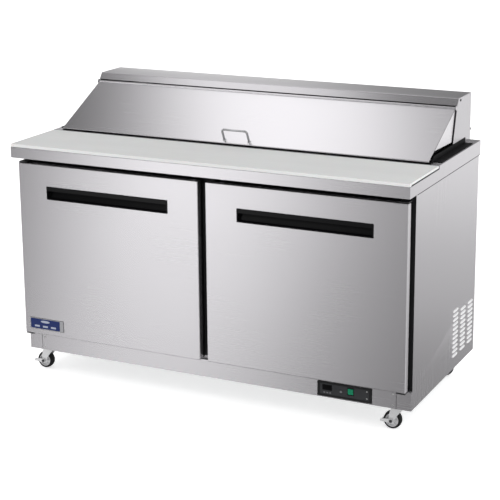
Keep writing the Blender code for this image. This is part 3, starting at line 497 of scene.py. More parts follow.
def filed(obj, finish, body, rounding=0.0, replaces=(), cutters=(), slot=None):
    """Cut, round and finish an object, and make it ride on its body; the slot it works out is not used."""
    obj.data.materials.clear()
    obj.data.materials.append(finish)
    for tool in cutters:
        cut = obj.modifiers.new("cut", "BOOLEAN")
        cut.operation = "DIFFERENCE"
        cut.object = tool
    if cutters:
        obj.data = evaluated_mesh(obj)
        obj.modifiers.clear()
        for tool in cutters:
            bpy.data.objects.remove(tool, do_unlink=True)
    if rounding:
        rounded_edges(obj, rounding)
    slot = slot or SLOTS[finish]
    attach(obj, body)
    if replaces:
        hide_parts(*replaces)
    return obj


def smooth_object(name, mesh):
    """An object of the mesh, shaded smooth between its sharp edges."""
    mesh.shade_smooth()
    mesh.set_sharp_from_angle(angle=SMOOTH_UNDER)
    obj = bpy.data.objects.new(name, mesh)
    scene.collection.objects.link(obj)
    return obj


def evaluated_mesh(obj):
    """A new mesh of the object with its modifiers applied."""
    bpy.context.view_layer.update()
    return bpy.data.meshes.new_from_object(obj.evaluated_get(bpy.context.evaluated_depsgraph_get()))


def tube(name, points, radius, finish, body, replaces=()):
    """A bent rod or pipe through points, as a mesh."""
    curve = bpy.data.curves.new(name, "CURVE")
    curve.dimensions = "3D"
    curve.bevel_depth = radius
    curve.bevel_resolution = 4
    curve.use_fill_caps = True
    spline = curve.splines.new("POLY")
    spline.points.add(len(points) - 1)
    for point, place in zip(spline.points, points):
        point.co = (*place, 1.0)
    source = bpy.data.objects.new(name + "_line", curve)
    scene.collection.objects.link(source)
    mesh = evaluated_mesh(source)
    bpy.data.objects.remove(source, do_unlink=True)
    return filed(smooth_object(name, mesh), finish, body, replaces=replaces)


def rounded_path(corners, radius, steps=6):
    """A path through corners with each inner corner turned on an arc of that radius."""
    points = [Vector(corners[0])]
    for before, corner, after in zip(corners, corners[1:], corners[2:]):
        corner = Vector(corner)
        back = (Vector(before) - corner).normalized()
        on = (Vector(after) - corner).normalized()
        reach = radius / math.tan(back.angle(on) / 2)
        middle = (back + on).normalized() * (radius / math.sin(back.angle(on) / 2))
        centre = corner + middle
        start, end = corner + back * reach - centre, corner + on * reach - centre
        turn = start.angle(end)
        for step in range(steps + 1):
            part = step / steps
            points.append(centre + (start * math.sin((1 - part) * turn) + end * math.sin(part * turn))
                          / math.sin(turn))
    points.append(Vector(corners[-1]))
    return points


def arc(a, b, radius, start, end, steps):
    """Points on an arc about (a, b), between two angles in degrees."""
    angles = (math.radians(start + (end - start) * step / steps) for step in range(steps + 1))
    return [(a + radius * math.cos(angle), b + radius * math.sin(angle)) for angle in angles]


def rounded_rectangle(half_x, half_y, radius):
    """Points round a rectangle with arcs at its corners, about the origin."""
    points = []
    for quarter in range(4):
        cx = (half_x - radius) * (1 if quarter in (0, 3) else -1)
        cy = (half_y - radius) * (1 if quarter in (0, 1) else -1)
        points += arc(cx, cy, radius, 90 * quarter, 90 * quarter + 90, 5)
    return points


def frame_rings(low, high, profile):
    """Rectangles in a door's plane, one for each (inset, y) of a profile."""
    rings = []
    for inset, y in profile:
        x0, x1, z0, z1 = low.x + inset, high.x - inset, low.z + inset, high.z - inset
        rings.append([(x0, y, z0), (x1, y, z0), (x1, y, z1), (x0, y, z1)])
    return rings


def screw_mesh(radius, height):
    """A low domed head with a six-sided socket, facing +Z from the origin."""
    dome = [(0.0, 1.0), (0.45, 0.96), (0.8, 0.69), (1.0, 0.19), (1.0, 0.0), (0.0, 0.0)]
    profile = [(r * radius, h * height) for r, h in dome]
    head = Form().lathe(profile, (0, 0, 0), (0, 0, 1), 20).object()
    socket = Form().rod((0, 0, 0.4 * height), (0, 0, 3 * height), 0.42 * radius, segments=6).object()
    cut = head.modifiers.new("cut", "BOOLEAN")
    cut.operation = "DIFFERENCE"
    cut.object = socket
    mesh = evaluated_mesh(head)
    for used in (head, socket):
        bpy.data.objects.remove(used, do_unlink=True)
    return mesh


def build_screws(name, places, facing, radius, height, finish=ZINC):
    """Screw heads at places on the cabinet, all facing one way, as one piece."""
    mesh = screw_mesh(radius, height)
    turn = Vector(facing).to_track_quat("Z", "Y").to_matrix().to_4x4()
    form = Form()
    for place in places:
        form.stamp(mesh, Matrix.Translation(place) @ turn)
    form.piece(name, finish, "cabinet", slot="bright_steel")


# ---- doors
def build_handle(label):
    """Moulded finger pull: a flange on the skin, a grip bar above, a scooped pocket behind."""
    low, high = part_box(f"door_{label}_handle")
    border, wall, grip, grip_t = 0.0045, 0.0018, 0.0165, 0.0035
    front, back = low.y, high.y - wall
    floor, top = low.z + border, high.z - border
    scoop = [(front + 0.006 + 0.01 * step / 6, floor + 0.012 * (step / 6) ** 2) for step in range(7)]
    outline = [(front - 0.01, floor), (front, floor), *scoop, (back, floor + 0.02), (back, top - 0.003),
               (back - 0.003, top), (front + grip_t, top), (front + grip_t, high.z - grip),
               (front - 0.01, high.z - grip)]
    pocket = Form().prism(outline, "x", low.x + border, high.x - border).object()
    Form().box(low, high).piece(f"door_{label}_pull", GLOSS, f"door_{label}", 0.0009,
                                [f"door_{label}_handle"], [pocket])


def build_gasket(label):
    """Bellows gasket: a base on the inner panel, a fold, and the magnet tube on the frame."""
    low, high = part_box(f"door_{label}_gasket")
    y0, y1 = low.y, high.y
    fold = y0 + 0.003
    tube_foot = y0 + 0.0062
    profile = [(0.0015, y0), (0.0135, y0), (0.0135, y0 + 0.0015), (0.01, fold), (0.014, y0 + 0.0048),
               (0.015, tube_foot), (0.015, y1), (0.0004, y1), (0.0002, tube_foot), (0.001, y0 + 0.0048),
               (0.005, fold), (0.0015, y0 + 0.0015)]
    form = Form().loops(frame_rings(low, high, profile), closed=True)
    form.piece(f"door_{label}_seal", GASKET, f"door_{label}", 0.0003, [f"door_{label}_gasket"])


def build_inner_panel(label):
    """Pressed detail on the door's white inner panel: a rounded dam and a sunk middle."""
    low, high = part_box(f"door_{label}_liner")
    inset, width, proud = 0.042, 0.026, 0.009
    face = high.y
    profile = []
    for step in range(9):
        angle = math.pi * step / 8
        profile.append((inset + width * (1 - math.cos(angle)) / 2, face - 0.001 + proud * math.sin(angle)))
    profile += [(inset + width, face - 0.002), (inset, face - 0.002)]
    form = Form().loops(frame_rings(low, high, profile), closed=True)
    ledge = inset + width + 0.02
    border = [(ledge, face - 0.001), (ledge, face + 0.0012), (ledge + 0.004, face + 0.002),
              (ledge + 0.008, face + 0.0012), (ledge + 0.008, face - 0.001)]
    form.loops(frame_rings(low, high, border), closed=True)
    form.piece(f"door_{label}_inner_panel", LINER, f"door_{label}")


def build_shade_band(label):
    """Black band round the inner panel, from the skin to the gasket: painted shade that keeps the door's
    sides dark in the gaps.
    """
    low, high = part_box(f"door_{label}_liner")
    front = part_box(f"door_{label}_skin")[1].y + 0.0002
    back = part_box(f"door_{label}_gasket")[0].y - 0.0001
    lap, leg, sheet, margin = 0.0009, 0.0069, 0.0015, 0.001
    hinge, latch = 0.0082, 0.0007
    left, right = (hinge, latch) if label == "left" else (latch, hinge)
    profile = [(0.0, front), (0.0, back), (leg, back), (leg, back - sheet), (lap, back - sheet),
               (lap, front)]
    rings = frame_rings(low + Vector((left, 0, margin)), high - Vector((right, 0, margin)), profile)
    # The band is painted shade for the gaps beside and between the doors.
    Form().loops(rings, closed=True).piece(f"door_{label}_shade_band", GASKET, f"door_{label}")


def build_jambs():
    """Thin black strips on the face frame round and between the doors, painted shade that keeps those gaps
    dark, and two catches.
    """
    frame_low, frame_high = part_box("face_frame")
    front, back = frame_low.y - 0.0002, frame_low.y + 0.001
    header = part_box("door_left_skin")[1].z - 0.02
    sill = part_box("kick_panel")[1].z + 0.0025
    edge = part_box("side_panel_right")[1].x - 0.0006
    jamb, mullion, top = 0.73, 0.03, frame_high.z - 0.03
    Form().box((-mullion, front, sill + 0.01), (mullion, back, header)).piece(
        "mullion_shade_strip", SHADE_CHARCOAL, "cabinet", 0.0001)
    Form().both((0.05, front - 0.003, header + 0.0215), (0.064, back, header + 0.0275)).piece(
        "door_catches", CHROMATE, "cabinet", 0.0006)
    strips = Form().box((-edge, front, header), (edge, back, top))
    strips.both((jamb, front, sill), (edge, back, header)).piece("jamb_shade_strips", BLACK, "cabinet", 0.0001)


def build_plate():
    """Plain plate on the left door: a dark backing whose rim paints the plate's shadow outline, bright
    surround, blue field, plain shapes.
    """
    low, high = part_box("door_badge")
    edge, border, field_end = 0.0008, 0.002, 0.0165
    # The backing's rim shows as a dark outline round the surround: painted shadow.
    Form().box((low.x, low.y + 0.0007, low.z), high).piece(
        "plate_shadow_backing", BLACK, "door_left", 0.0002, ["door_badge"])
    Form().box((low.x + edge, low.y, low.z + edge), (high.x - edge, high.y, high.z - edge)).piece(
        "plate_surround", SILVER, "door_left", 0.0004)
    x0, x1 = low.x + edge + border, high.x - field_end
    z0, z1 = low.z + edge + border, high.z - edge - border
    Form().box((x0, low.y - 0.0003, z0), (x1, high.y, z1)).piece(
        "plate_field", BLUE, "door_left", 0.0003)
    middle_x, middle_z = (x0 + x1) / 2, (z0 + z1) / 2
    shapes = Form()
    oval = [(middle_x + 0.02 * math.cos(a), middle_z + 0.0095 + 0.0048 * math.sin(a))
            for a in (math.tau * step / 28 for step in range(28))]
    shapes.prism(oval, "y", low.y - 0.0005, high.y)
    for shift in (-0.036, 0.0, 0.036):
        shapes.box((middle_x + shift - 0.011, low.y - 0.0005, middle_z - 0.013),
                   (middle_x + shift + 0.011, high.y, middle_z - 0.006))
    shapes.piece("plate_shapes", EMBLEM, "door_left", 0.0002)


# ---- worktop and lid
def build_board():
    """Cutting board with eased edges on a black strip, painted shadow that shows as a thin dark line below
    it.
    """
    low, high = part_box("cutting_board")
    end, lap, rear, inset = 0.0034, 0.014, high.y - 0.0028, 0.0006
    outline = [(low.y, low.z), (low.y + lap, low.z), (low.y + lap + 0.002, low.z + end),
               (rear, low.z + end), (rear, high.z), (low.y, high.z)]
    Form().prism(outline, "x", low.x, high.x).piece("board_slab", BOARD, "board", 0.0016, ["cutting_board"])
    # The black strip under the board's eased edge paints the shadow line below it.
    front, under = low.y + lap + 0.003, low.z + end - 0.0004
    shadow_strip = [(front, low.z), (high.y, low.z), (high.y, high.z - 0.0006), (high.y - 0.0025, high.z - 0.0006),
            (high.y - 0.0025, under), (front, under)]
    Form().prism(shadow_strip, "x", low.x + inset, high.x - inset).piece("board_shadow_strip", BLACK, "board")


def lid_line():
    """The (y, z) of the lid's front edge and of its pivot, from its box."""
    low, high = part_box("lid_panel")
    barrel, sheet = 0.0045, 0.005
    lean = math.radians(27.0)
    return Vector((low.y, low.z + sheet * math.cos(lean))), Vector((high.y - barrel, high.z - barrel))


def build_lid():
    """Lid sheet with a rolled front hem, an inner panel, end wings and the pivot barrel."""
    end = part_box("lid_panel")[1].x
    edge, pin = lid_line()
    slope = (pin - edge).normalized()
    down = Vector((slope.y, -slope.x))
    length = (pin - edge).length
    sheet, hem, gap = 0.0014, 0.005, 0.0032
    half = end - 0.004

    def line(*places):
        """An outline from distances along the lid and below its outer face."""
        return [tuple(edge + slope * along + down * below) for along, below in places]

    nose = arc(hem / 2, hem / 2, hem / 2, 270, 90, 8)
    outline = line((length, 0.0), *nose, (0.022, hem), (0.022, hem - sheet), (hem / 2, hem - sheet),
                   (hem / 2, sheet), (length, sheet))
    form = Form().prism(outline, "x", -half, half).rod((-half, *pin), (half, *pin), 0.0046)
    form.piece("lid_sheet", STEEL_X, "lid", 0.0003, ["lid_panel"])
    inner = line((0.03, sheet + 0.0002), (0.034, 0.0048), (length - 0.02, 0.0048),
                 (length - 0.014, sheet + 0.0002))
    Form().prism(inner, "x", -half + 0.012, half - 0.012).piece("lid_inner_panel", STEEL_X, "lid", 0.0006)

    face = half - 0.0004
    # Black strips along the wings' top edges paint the shadow line between the lid sheet and the wings.
    wing_shadow_outline = line((0.034, sheet), (length - 0.008, sheet), (length - 0.008, sheet + 0.0034),
                (0.034, sheet + 0.0034))
    Form().both_ends(wing_shadow_outline, half - 0.003, face).piece("lid_wing_shadow_strips", BLACK, "lid")
    # The wing ends just above the pan frame.
    lower_rear, lower_front = (0.159, 0.9338), (-0.025, 0.9388)
    wing = [*line((0.04, sheet + gap), (length - 0.006, sheet + gap)), lower_rear, lower_front]
    tab = line((0.06, sheet), (length - 0.03, sheet), (length - 0.03, sheet + gap + 0.0014),
               (0.06, sheet + gap + 0.0014))
    wings = Form().both_ends(wing, half - 0.002, face).both_ends(tab, half - 0.014, half - 0.002)
    for side in (-1, 1):
        wings.rod(((half - 0.001) * side, *pin), ((end - 0.0002) * side, *pin), 0.0027)
    # The wings take the lighter copy of the steel: painted light.
    wings.piece("lid_wings", STEEL_WING_LIT, "lid", 0.0003)


def build_lid_handle():
    """Bent-rod handle on two small washers."""
    edge, pin = lid_line()
    slope = (pin - edge).normalized()
    up = Vector((-slope.y, slope.x))
    foot = edge + slope * 0.016
    head = foot + up * 0.048
    half, bend, rod = 0.05, 0.01, 0.004
    corners = [(-half, *foot), (-half, *head), (half, *head), (half, *foot)]
    tube("lid_grip", rounded_path(corners, bend, 8), rod, ROD_STEEL, "lid", ["lid_handle"])
    profile = [(0.0, 0.0016), (0.0062, 0.0016), (0.0075, 0.0008), (0.0078, 0.0), (0.0, 0.0)]
    washers = Form()
    for x in (-half, half):
        washers.lathe(profile, (x, *foot), (0.0, *up), 28)
    washers.piece("lid_grip_washers", BRIGHT, "lid")


def build_pans():
    """Deep-drawn pans: a rolled rim, a stacking shoulder and rounded corners."""
    low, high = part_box("pan_1")
    half_x, half_y = (high.x - low.x) / 2, (high.y - low.y) / 2
    depth = high.z - low.z
    # Inset, drop and corner radius of each ring from the rim down.
    steps = ((0.0, 0.0018, 0.01), (0.0, 0.0004, 0.01), (0.0008, 0.0, 0.01),
             (0.0085, 0.0, 0.014), (0.01, 0.0012, 0.015), (0.011, 0.01, 0.016),
             (0.014, 0.013, 0.018), (0.015, 0.02, 0.02), (0.019, depth - 0.012, 0.024),
             (0.0215, depth - 0.0045, 0.025), (0.027, depth - 0.0012, 0.027),
             (0.04, depth - 0.0006, 0.027))
    rings = [[(x, y, -drop) for x, y in rounded_rectangle(half_x - inset, half_y - inset, radius)]
             for inset, drop, radius in steps]
    for index in range(PAN_COUNT):
        node = f"pan_{index + 1}"
        low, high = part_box(node)
        pan = Form().loops(rings).object(f"{node}_drawn")
        pan.data.transform(Matrix.Translation(((low.x + high.x) / 2, (low.y + high.y) / 2, high.z)))
        shell = pan.modifiers.new("shell", "SOLIDIFY")
        shell.thickness = 0.0008
        shell.offset = -1.0
        filed(pan, BRIGHT, "cabinet", replaces=[node])


def build_hood():
    """Cap with rounded folds: sloped lip, top and rear sheet; end screws and thumb screws."""
    low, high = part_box("hood_cap")
    rise, run, t, fold = 0.0236, 0.0168, 0.0015, 0.003
    foot_y, foot_z = low.y, high.z - rise
    head_y, head_z = low.y + run, high.z - 0.0012
    lip = [(foot_y, foot_z), (head_y, head_z), (head_y + 0.0008, head_z - 0.001),
           (foot_y + 0.0014, foot_z - 0.0006)]
    Form().prism(lip, "x", low.x, high.x).piece("hood_cap_lip", STEEL_LIP, "cabinet", 0.0002, ["hood_cap"])
    start = head_y - 0.0004
    front_fold = [(start + 0.0024 * (1 - a), head_z - 0.0006 + 0.0018 * b)
                  for a, b in arc(0, 0, 1, 0, 90, 5)]
    rear_fold = arc(high.y - fold, high.z - fold, fold, 90, 0, 6)
    outline = [*front_fold, *rear_fold, (high.y, low.z), (high.y - t, low.z), (high.y - t, high.z - fold),
               (high.y - fold, high.z - t), (start + 0.002, high.z - t)]
    # The cap's top sheet takes the darker copy of the steel: painted shade.
    Form().prism(outline, "x", low.x, high.x).piece("hood_cap_top", STEEL_CAP_SHADED, "cabinet")
    screw_place, knob_z = (0.238, 1.0735), 0.945
    knob = [(0.0, 0.014), (0.004, 0.014), (0.005, 0.0128), (0.005, 0.0052), (0.0026, 0.0044),
            (0.0026, 0.0), (0.0, 0.0)]
    for label, side in SIDES:
        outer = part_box(f"hood_end_{label}")[0 if side < 0 else 1].x
        build_screws(f"hood_screws_{label}", [(outer, *screw_place)], (side, 0, 0), 0.005, 0.002, BLACK)
        Form().lathe(knob, ((high.x - 0.0055) * side, high.y, knob_z), (0, 1, 0), 24).piece(
            f"hood_thumb_screw_{label}", BLACK, "cabinet", 0.0003)


# ---- controls
def build_controls():
    """Grey face in the bezel with a dark window, a row of soft keys and two screws."""
    low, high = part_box("control_bezel")
    rocker_low, rocker_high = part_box("rocker_switch")
    button_low, button_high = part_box("thermostat_button")
    middle = (button_low + button_high) / 2
    face = low.y + 0.0012
    before, behind = low.y - 0.02, face + 0.02
    x0, x1, z0, z1 = low.x + 0.0092, high.x - 0.0092, low.z + 0.0077, high.z - 0.0077

    def round_rocker(aside, above, front, back):
        """A box round the rocker, by its margins and its depth."""
        return Form().box((rocker_low.x - aside, front, rocker_low.z - above),
                          (rocker_high.x + aside, back, rocker_high.z + above))

    hole = round_rocker(0.0014, 0.0022, before, behind).object()
    ring = Form().rod((middle.x, before, middle.z), (middle.x, behind, middle.z), 0.0053).object()
    Form().box((x0, face, z0), (x1, face + 0.0008, z1)).piece(
        "control_face", GREY_FACE, "cabinet", 0.0003, (), [hole, ring])
    proud, sunk = face - 0.0006, face + 0.0004
    window = x0 + 0.01
    Form().box((window, proud, z0 + 0.016), (window + 0.036, sunk, z1 - 0.0035)).piece(
        "control_window", GLOSS, "cabinet", 0.0004)
    keys = Form()
    for index in range(3):
        x = window + 0.004 + index * 0.011
        keys.box((x, proud, z0 + 0.005), (x + 0.0065, sunk, z0 + 0.0095))
    keys.piece("control_keys", GREY_KEY, "cabinet", 0.0004)
    opening = round_rocker(0.0012, 0.0018, before, behind).object()
    round_rocker(0.0026, 0.0034, face - 0.001, sunk).piece(
        "rocker_surround", BLACK, "cabinet", 0.0003, (), [opening])
    cap = [(0.0, 0.0098), (0.003, 0.0096), (0.0044, 0.0086), (0.0047, 0.0074), (0.0047, 0.0), (0.0, 0.0)]
    Form().lathe(cap, (middle.x, button_high.y, middle.z), (0, -1, 0), 28).piece(
        "set_button_cap", GREY_KEY, "set_button", 0.0, ["thermostat_button"])
    screw_x = x1 - 0.0085
    build_screws("control_screws", [(screw_x, face, z1 - 0.0065), (screw_x, face, z0 + 0.0075)],
                 (0, -1, 0), 0.0026, 0.0012)


# ---- casters
def build_wheel(depth, label):
    """Tyre with a crowned tread and a grey hub with a recessed, ribbed web."""
    node = f"caster_wheel_{depth}_{label}"
    low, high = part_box(node)
    centre = (low + high) / 2
    radius, half = (high.z - low.z) / 2, 0.013
    body = f"wheel_{depth}_{label}"
    tread = [(radius - 0.0022 * (abs(step) / 6) ** 2.5, half * 0.92 * step / 6) for step in range(-6, 7)]
    tyre = [(0.0238, -half + 0.001), (0.0262, -half), *tread, (0.0262, half), (0.0238, half - 0.001),
            (0.0238, -half + 0.001)]
    Form().lathe(tyre, centre, (0, 1, 0), 56).piece(f"tyre_{depth}_{label}", TYRE, body)
    rim = 0.0236
    hub = [(0.0044, -0.015), (0.0085, -0.015), (0.0095, -0.0142), (0.01, -0.009), (0.0115, -0.0065),
           (0.0195, -0.0065), (0.0212, -0.0085), (0.0218, -half), (rim, -half)]
    hub += [(r, -h) for r, h in reversed(hub)] + [hub[0]]
    form = Form().lathe(hub, centre, (0, 1, 0), 48)
    ribs = 6
    for index in range(ribs):
        turn = Matrix.Translation(centre) @ Matrix.Rotation(math.tau * index / ribs, 4, "Y")
        rib = Form().box((0.0095, -0.0108, -0.0011), (0.0208, 0.0108, 0.0011)).object("rib")
        form.stamp(rib.data, turn)
        bpy.data.objects.remove(rib, do_unlink=True)
    form.piece(f"hub_{depth}_{label}", HUB, body, 0.0003, [node])


def build_fork(depth, label):
    """Swivel head with its ball race, pressed legs, and the axle bolt with its nut."""
    node = f"caster_fork_{depth}_{label}"
    top_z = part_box(node)[1].z
    wheel_low, wheel_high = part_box(f"caster_wheel_{depth}_{label}")
    x, y, z = (wheel_low + wheel_high) / 2
    stem = x + CASTER_TRAIL
    body = f"fork_{depth}_{label}"
    race = [(0.0, 0.0935), (0.008, 0.0935), (0.0092, 0.0925), (0.015, 0.0922), (0.0182, 0.0905),
            (0.0188, 0.0885), (0.0176, 0.0868), (0.0176, 0.0856), (0.019, 0.0842), (0.019, 0.0826),
            (0.0172, 0.0812), (0.0, 0.0812)]
    neck = [(0.0, top_z), (0.007, top_z), (0.008, top_z - 0.001), (0.008, 0.0925), (0.0, 0.0925)]
    head = Form().lathe(race, (stem, y, 0.0), (0, 0, 1), 40).lathe(neck, (stem, y, 0.0), (0, 0, 1), 28)
    head.piece(f"swivel_head_{depth}_{label}", CHROMATE, body, 0.0, [node])

    leg_in, leg_out, eye, top = 0.016, 0.0183, 0.0096, 0.0818
    near, far = x - 0.001, stem + 0.015
    outline = [(near, top), (far, top), (far, top - 0.006), (x + 0.0225, 0.056),
               *arc(x, z, eye, 8, -188, 12), (x - 0.0095, 0.052)]
    legs = Form().prism(outline, "y", y - leg_out, y - leg_in).prism(outline, "y", y + leg_in, y + leg_out)
    legs.box((near, y - leg_out, top - 0.0023), (far, y + leg_out, top))
    legs.piece(f"fork_legs_{depth}_{label}", CHROMATE, body, 0.0008)

    # The bolt's head stands outside the brake lever on a front caster.
    head_y = y - (0.024 if depth == "front" else leg_out)
    nut_y = y + leg_out
    bolt = Form().rod((x, y - 0.0195, z), (x, y + 0.0195, z), 0.004)
    bolt.rod((x, head_y, z), (x, head_y - 0.0028, z), 0.0062, 6)
    bolt.rod((x, nut_y, z), (x, nut_y + 0.004, z), 0.0068, 6)
    bolt.rod((x, head_y - 0.0028, z), (x, nut_y + 0.004, z), 0.0038)
    bolt.piece(f"axle_bolt_{depth}_{label}", DARK_STEEL, body, 0.0004)


def build_brake(label):
    """Brake lever on the front leg: an eye on the axle, a tapered arm and a ridged pedal."""
    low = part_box(f"caster_brake_{label}")[0]
    wheel_low, wheel_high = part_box(f"caster_wheel_front_{label}")
    x, y, z = (wheel_low + wheel_high) / 2
    y0, y1 = y - 0.0232, y - 0.0208
    eye, tip = 0.0082, 0.0048
    hole = Form().rod((x, y0 - 0.01, z), (x, y1 + 0.01, z), 0.0043).object()
    body = f"brake_{label}"
    outline = [*arc(x, z, eye, -100, 100, 12), *arc(low.x + tip, z, tip, 100, 260, 8)]
    Form().prism(outline, "y", y0, y1).piece(
        f"brake_arm_{label}", CHROMATE, body, 0.0005, [f"caster_brake_{label}"], [hole])
    x0, x1, top = low.x, x - 0.0345, z - 0.0014
    tread = [(x0, top - 0.003), (x1, top - 0.0026), (x1, top - 0.0004), (x0 + 0.001, top)]
    pedal = Form().prism(tread, "y", y0, y + 0.012)
    for index in range(5):
        ridge = y0 + 0.006 + index * 0.006
        pedal.box((x0 + 0.0008, ridge, top - 0.0006), (x1 - 0.0006, ridge + 0.0018, top + 0.0006))
    pedal.piece(f"brake_pedal_{label}", CHROMATE, body, 0.0004)


# ---- cabinet
def build_louvres():
    """A pressed hood over each slot of the right panel's three columns."""
    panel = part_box("side_panel_right")[1].x
    hood = Form()
    bmesh.ops.create_uvsphere(hood.bm, u_segments=20, v_segments=10, radius=1.0)
    for vert in hood.bm.verts:
        x, y, z = vert.co
        blunt = math.copysign(abs(y) ** 0.55, y)
        vert.co = (x * 0.0045, blunt * (LOUVRE_HALF + 0.001), max(z, -0.55) * 0.0062)
    mesh = hood.object("louvre").data
    bpy.data.objects.remove(bpy.data.objects["louvre"], do_unlink=True)
    form = Form()
    for middle, count in LOUVRE_COLUMNS:
        for row in range(count):
            top = LOUVRE_BOTTOM + row * LOUVRE_PITCH + LOUVRE_HEIGHT
            form.stamp(mesh, Matrix.Translation((panel, middle, top - 0.002)))
    # The hoods take the lighter copy of the steel: painted light.
    form.piece("side_louvres", PRESSED_LIT, "cabinet")


def build_rear_details():
    """Screws round the rear panel, a blank plate, and a ridged collar round the inlet."""
    low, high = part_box("rear_panel")
    inset, top_row, columns, pitch = 0.012, 0.836, 6, 0.18
    x0, x1, z0 = low.x + inset, high.x - inset, low.z + inset
    places = [(x0 + (x1 - x0) * index / columns, high.y, z) for index in range(columns + 1)
              for z in (z0, top_row)]
    places += [(x, high.y, z0 + index * pitch) for index in range(1, 4) for x in (x0, x1)]
    build_screws("rear_screws", places, (0, 1, 0), 0.0038, 0.0008)
    Form().box((-0.6, high.y - 0.0002, 0.7), (-0.48, high.y + 0.0006, 0.77)).piece(
        "rear_blank_plate", BRIGHT, "cabinet", 0.0003)
    inlet_low, inlet_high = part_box("power_inlet")
    centre = ((inlet_low.x + inlet_high.x) / 2, high.y, (inlet_low.z + inlet_high.z) / 2)
    collar = [(0.0112, 0.0), (0.019, 0.0), (0.019, 0.0004), (0.015, 0.0009), (0.0112, 0.0009),
              (0.0112, 0.0)]
    Form().lathe(collar, centre, (0, 1, 0), 32).piece("inlet_collar", BLACK, "cabinet")


def build_skirt_shadow_strip():
    """Black strip under the worktop's skirts along the side panels: a painted shadow line between them."""
    low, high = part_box("worktop_rim")
    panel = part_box("side_panel_right")[1].x
    # Painted shadow: the strip stands in for the shadow gap under each skirt.
    shadow_strip = Form().both((panel + 0.0002, low.y + 0.078, low.z - 0.0028),
                       (high.x - 0.0004, high.y - 0.004, low.z + 0.002))
    shadow_strip.piece("skirt_shadow_strip", BLACK, "cabinet", 0.0004)


def build_kick_screws():
    """Screws of the kick panel and the thin dark joints at its ends."""
    low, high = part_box("kick_panel")
    Form().both((high.x - 0.0006, low.y - 0.0001, low.z), (high.x + 0.001, low.y + 0.001, high.z)).piece(
        "kick_joints", BLACK, "cabinet")
    places = [(x, low.y, z) for x in (low.x + 0.012, high.x - 0.012)
              for z in (low.z + 0.012, high.z - 0.014)]
    build_screws("kick_screws", places, (0, -1, 0), 0.0028, 0.0014)


# ---- interior
def build_shelf(label):
    """Welded wire shelf in the space of its plain grid."""
    node = f"shelf_{label}"
    low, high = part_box(node)
    frame_r, wire_r, count = 0.003, 0.0015, 28
    z, wire_z = high.z - frame_r, high.z - wire_r
    x0, x1, y0, y1 = low.x + frame_r, high.x - frame_r, low.y + frame_r, high.y - frame_r
    corners = [(x0 + 0.02, y0, z), (x1, y0, z), (x1, y1, z), (x0, y1, z), (x0, y0, z), (x0 + 0.03, y0, z)]
    tube(f"{node}_frame", rounded_path(corners, 0.008), frame_r, BRIGHT, "cabinet", [node])
    wires = Form()
    for index in range(1, count):
        x = x0 + (x1 - x0) * index / count
        wires.rod((x, y0, wire_z), (x, y1, wire_z), wire_r, 10)
    for part in range(1, 4):
        y = y0 + (y1 - y0) * part / 4
        wires.rod((x0, y, low.z + 0.0012), (x1, y, low.z + 0.0012), 0.002, 12)
    wires.piece(f"{node}_wires", BRIGHT, "cabinet")


def build_pilasters():
    """Shelf strips on the side walls, with clips under the shelves."""
    wall = -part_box("wall_left")[1].x
    low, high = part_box("shelf_right")
    width, thick, bottom, top = 0.016, 0.005, 0.2, 0.78
    strips, clips = Form(), Form()
    for y in (low.y + 0.035, high.y - 0.035):
        strips.both((wall - thick, y - width / 2, bottom), (wall, y + width / 2, top))
        clips.both((wall - 0.022, y - 0.006, low.z - 0.01), (wall - thick, y + 0.006, low.z - 0.0005))
    strips.piece("pilasters", STEEL_Z, "cabinet", 0.0005)
    clips.piece("shelf_clips", BRIGHT, "cabinet", 0.0008)


def build_evaporator():
    """White shroud round the evaporator with a wire guard over its fan."""
    coil_low, coil_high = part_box("evaporator_coil")
    fan_low, fan_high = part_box("evaporator_fan")
    middle = (fan_low + fan_high) / 2
    reach = (fan_high.z - fan_low.z) / 2 + 0.004
    front, wall, ring = fan_low.y - 0.004, 0.0015, 0.0012
    x0, x1 = coil_low.x - 0.012, coil_high.x + 0.012
    z0, z1 = coil_low.z - 0.01, coil_high.z + 0.012
    back = coil_high.y - 0.001
    hollow = Form().box((x0 + wall, front + wall, z0 + wall), (x1 - wall, back + 0.05, z1 - wall)).object()
    through = Vector((0.0, 0.02, 0.0))
    mouth = Vector((middle.x, front, middle.z))
    hole = Form().rod(mouth - through, mouth + through, reach, 64).object()
    Form().box((x0, front, z0), (x1, back, z1)).piece(
        "evaporator_shroud", LINER, "cabinet", 0.0012, (), [hollow, hole])
    spot = Vector((middle.x, front - 0.0006, middle.z))
    guard = Form()
    for index in range(5):
        radius = 0.014 + index * (reach - 0.012) / 4.6
        guard.lathe(arc(radius, 0.0, ring, 0, 360, 8), spot, (0, 1, 0), 56)
    for angle in (0.0, math.pi / 3, math.tau / 3):
        arm = Vector((math.cos(angle), 0.0, math.sin(angle))) * (reach + 0.006)
        guard.rod(spot - arm, spot + arm, ring, 10)
    guard.piece("evaporator_guard", BRIGHT, "cabinet")


def build_piping():
    """Copper lines from the compressor to the condenser coil."""
    comp_low, comp_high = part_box("compressor")
    coil_low, coil_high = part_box("condenser_coil")
    x, y = (comp_low.x + comp_high.x) / 2, (comp_low.y + comp_high.y) / 2
    bend, end = x + 0.1, (coil_low.x + coil_high.x) / 2 - 0.05
    before = coil_low.y - 0.01
    for name, radius, shift, low in (("discharge_line", 0.0032, 0.02, 0.15),
                                     ("suction_line", 0.0042, -0.02, 0.12)):
        high = low + 0.085
        corners = [(x + 0.052, y + shift, low), (bend, y + shift, low), (bend, y + shift, high),
                   (bend, before, high), (end, before, high), (end, coil_low.y + 0.004, high)]
        tube(name, rounded_path(corners, 0.009), radius, COPPER, "cabinet")


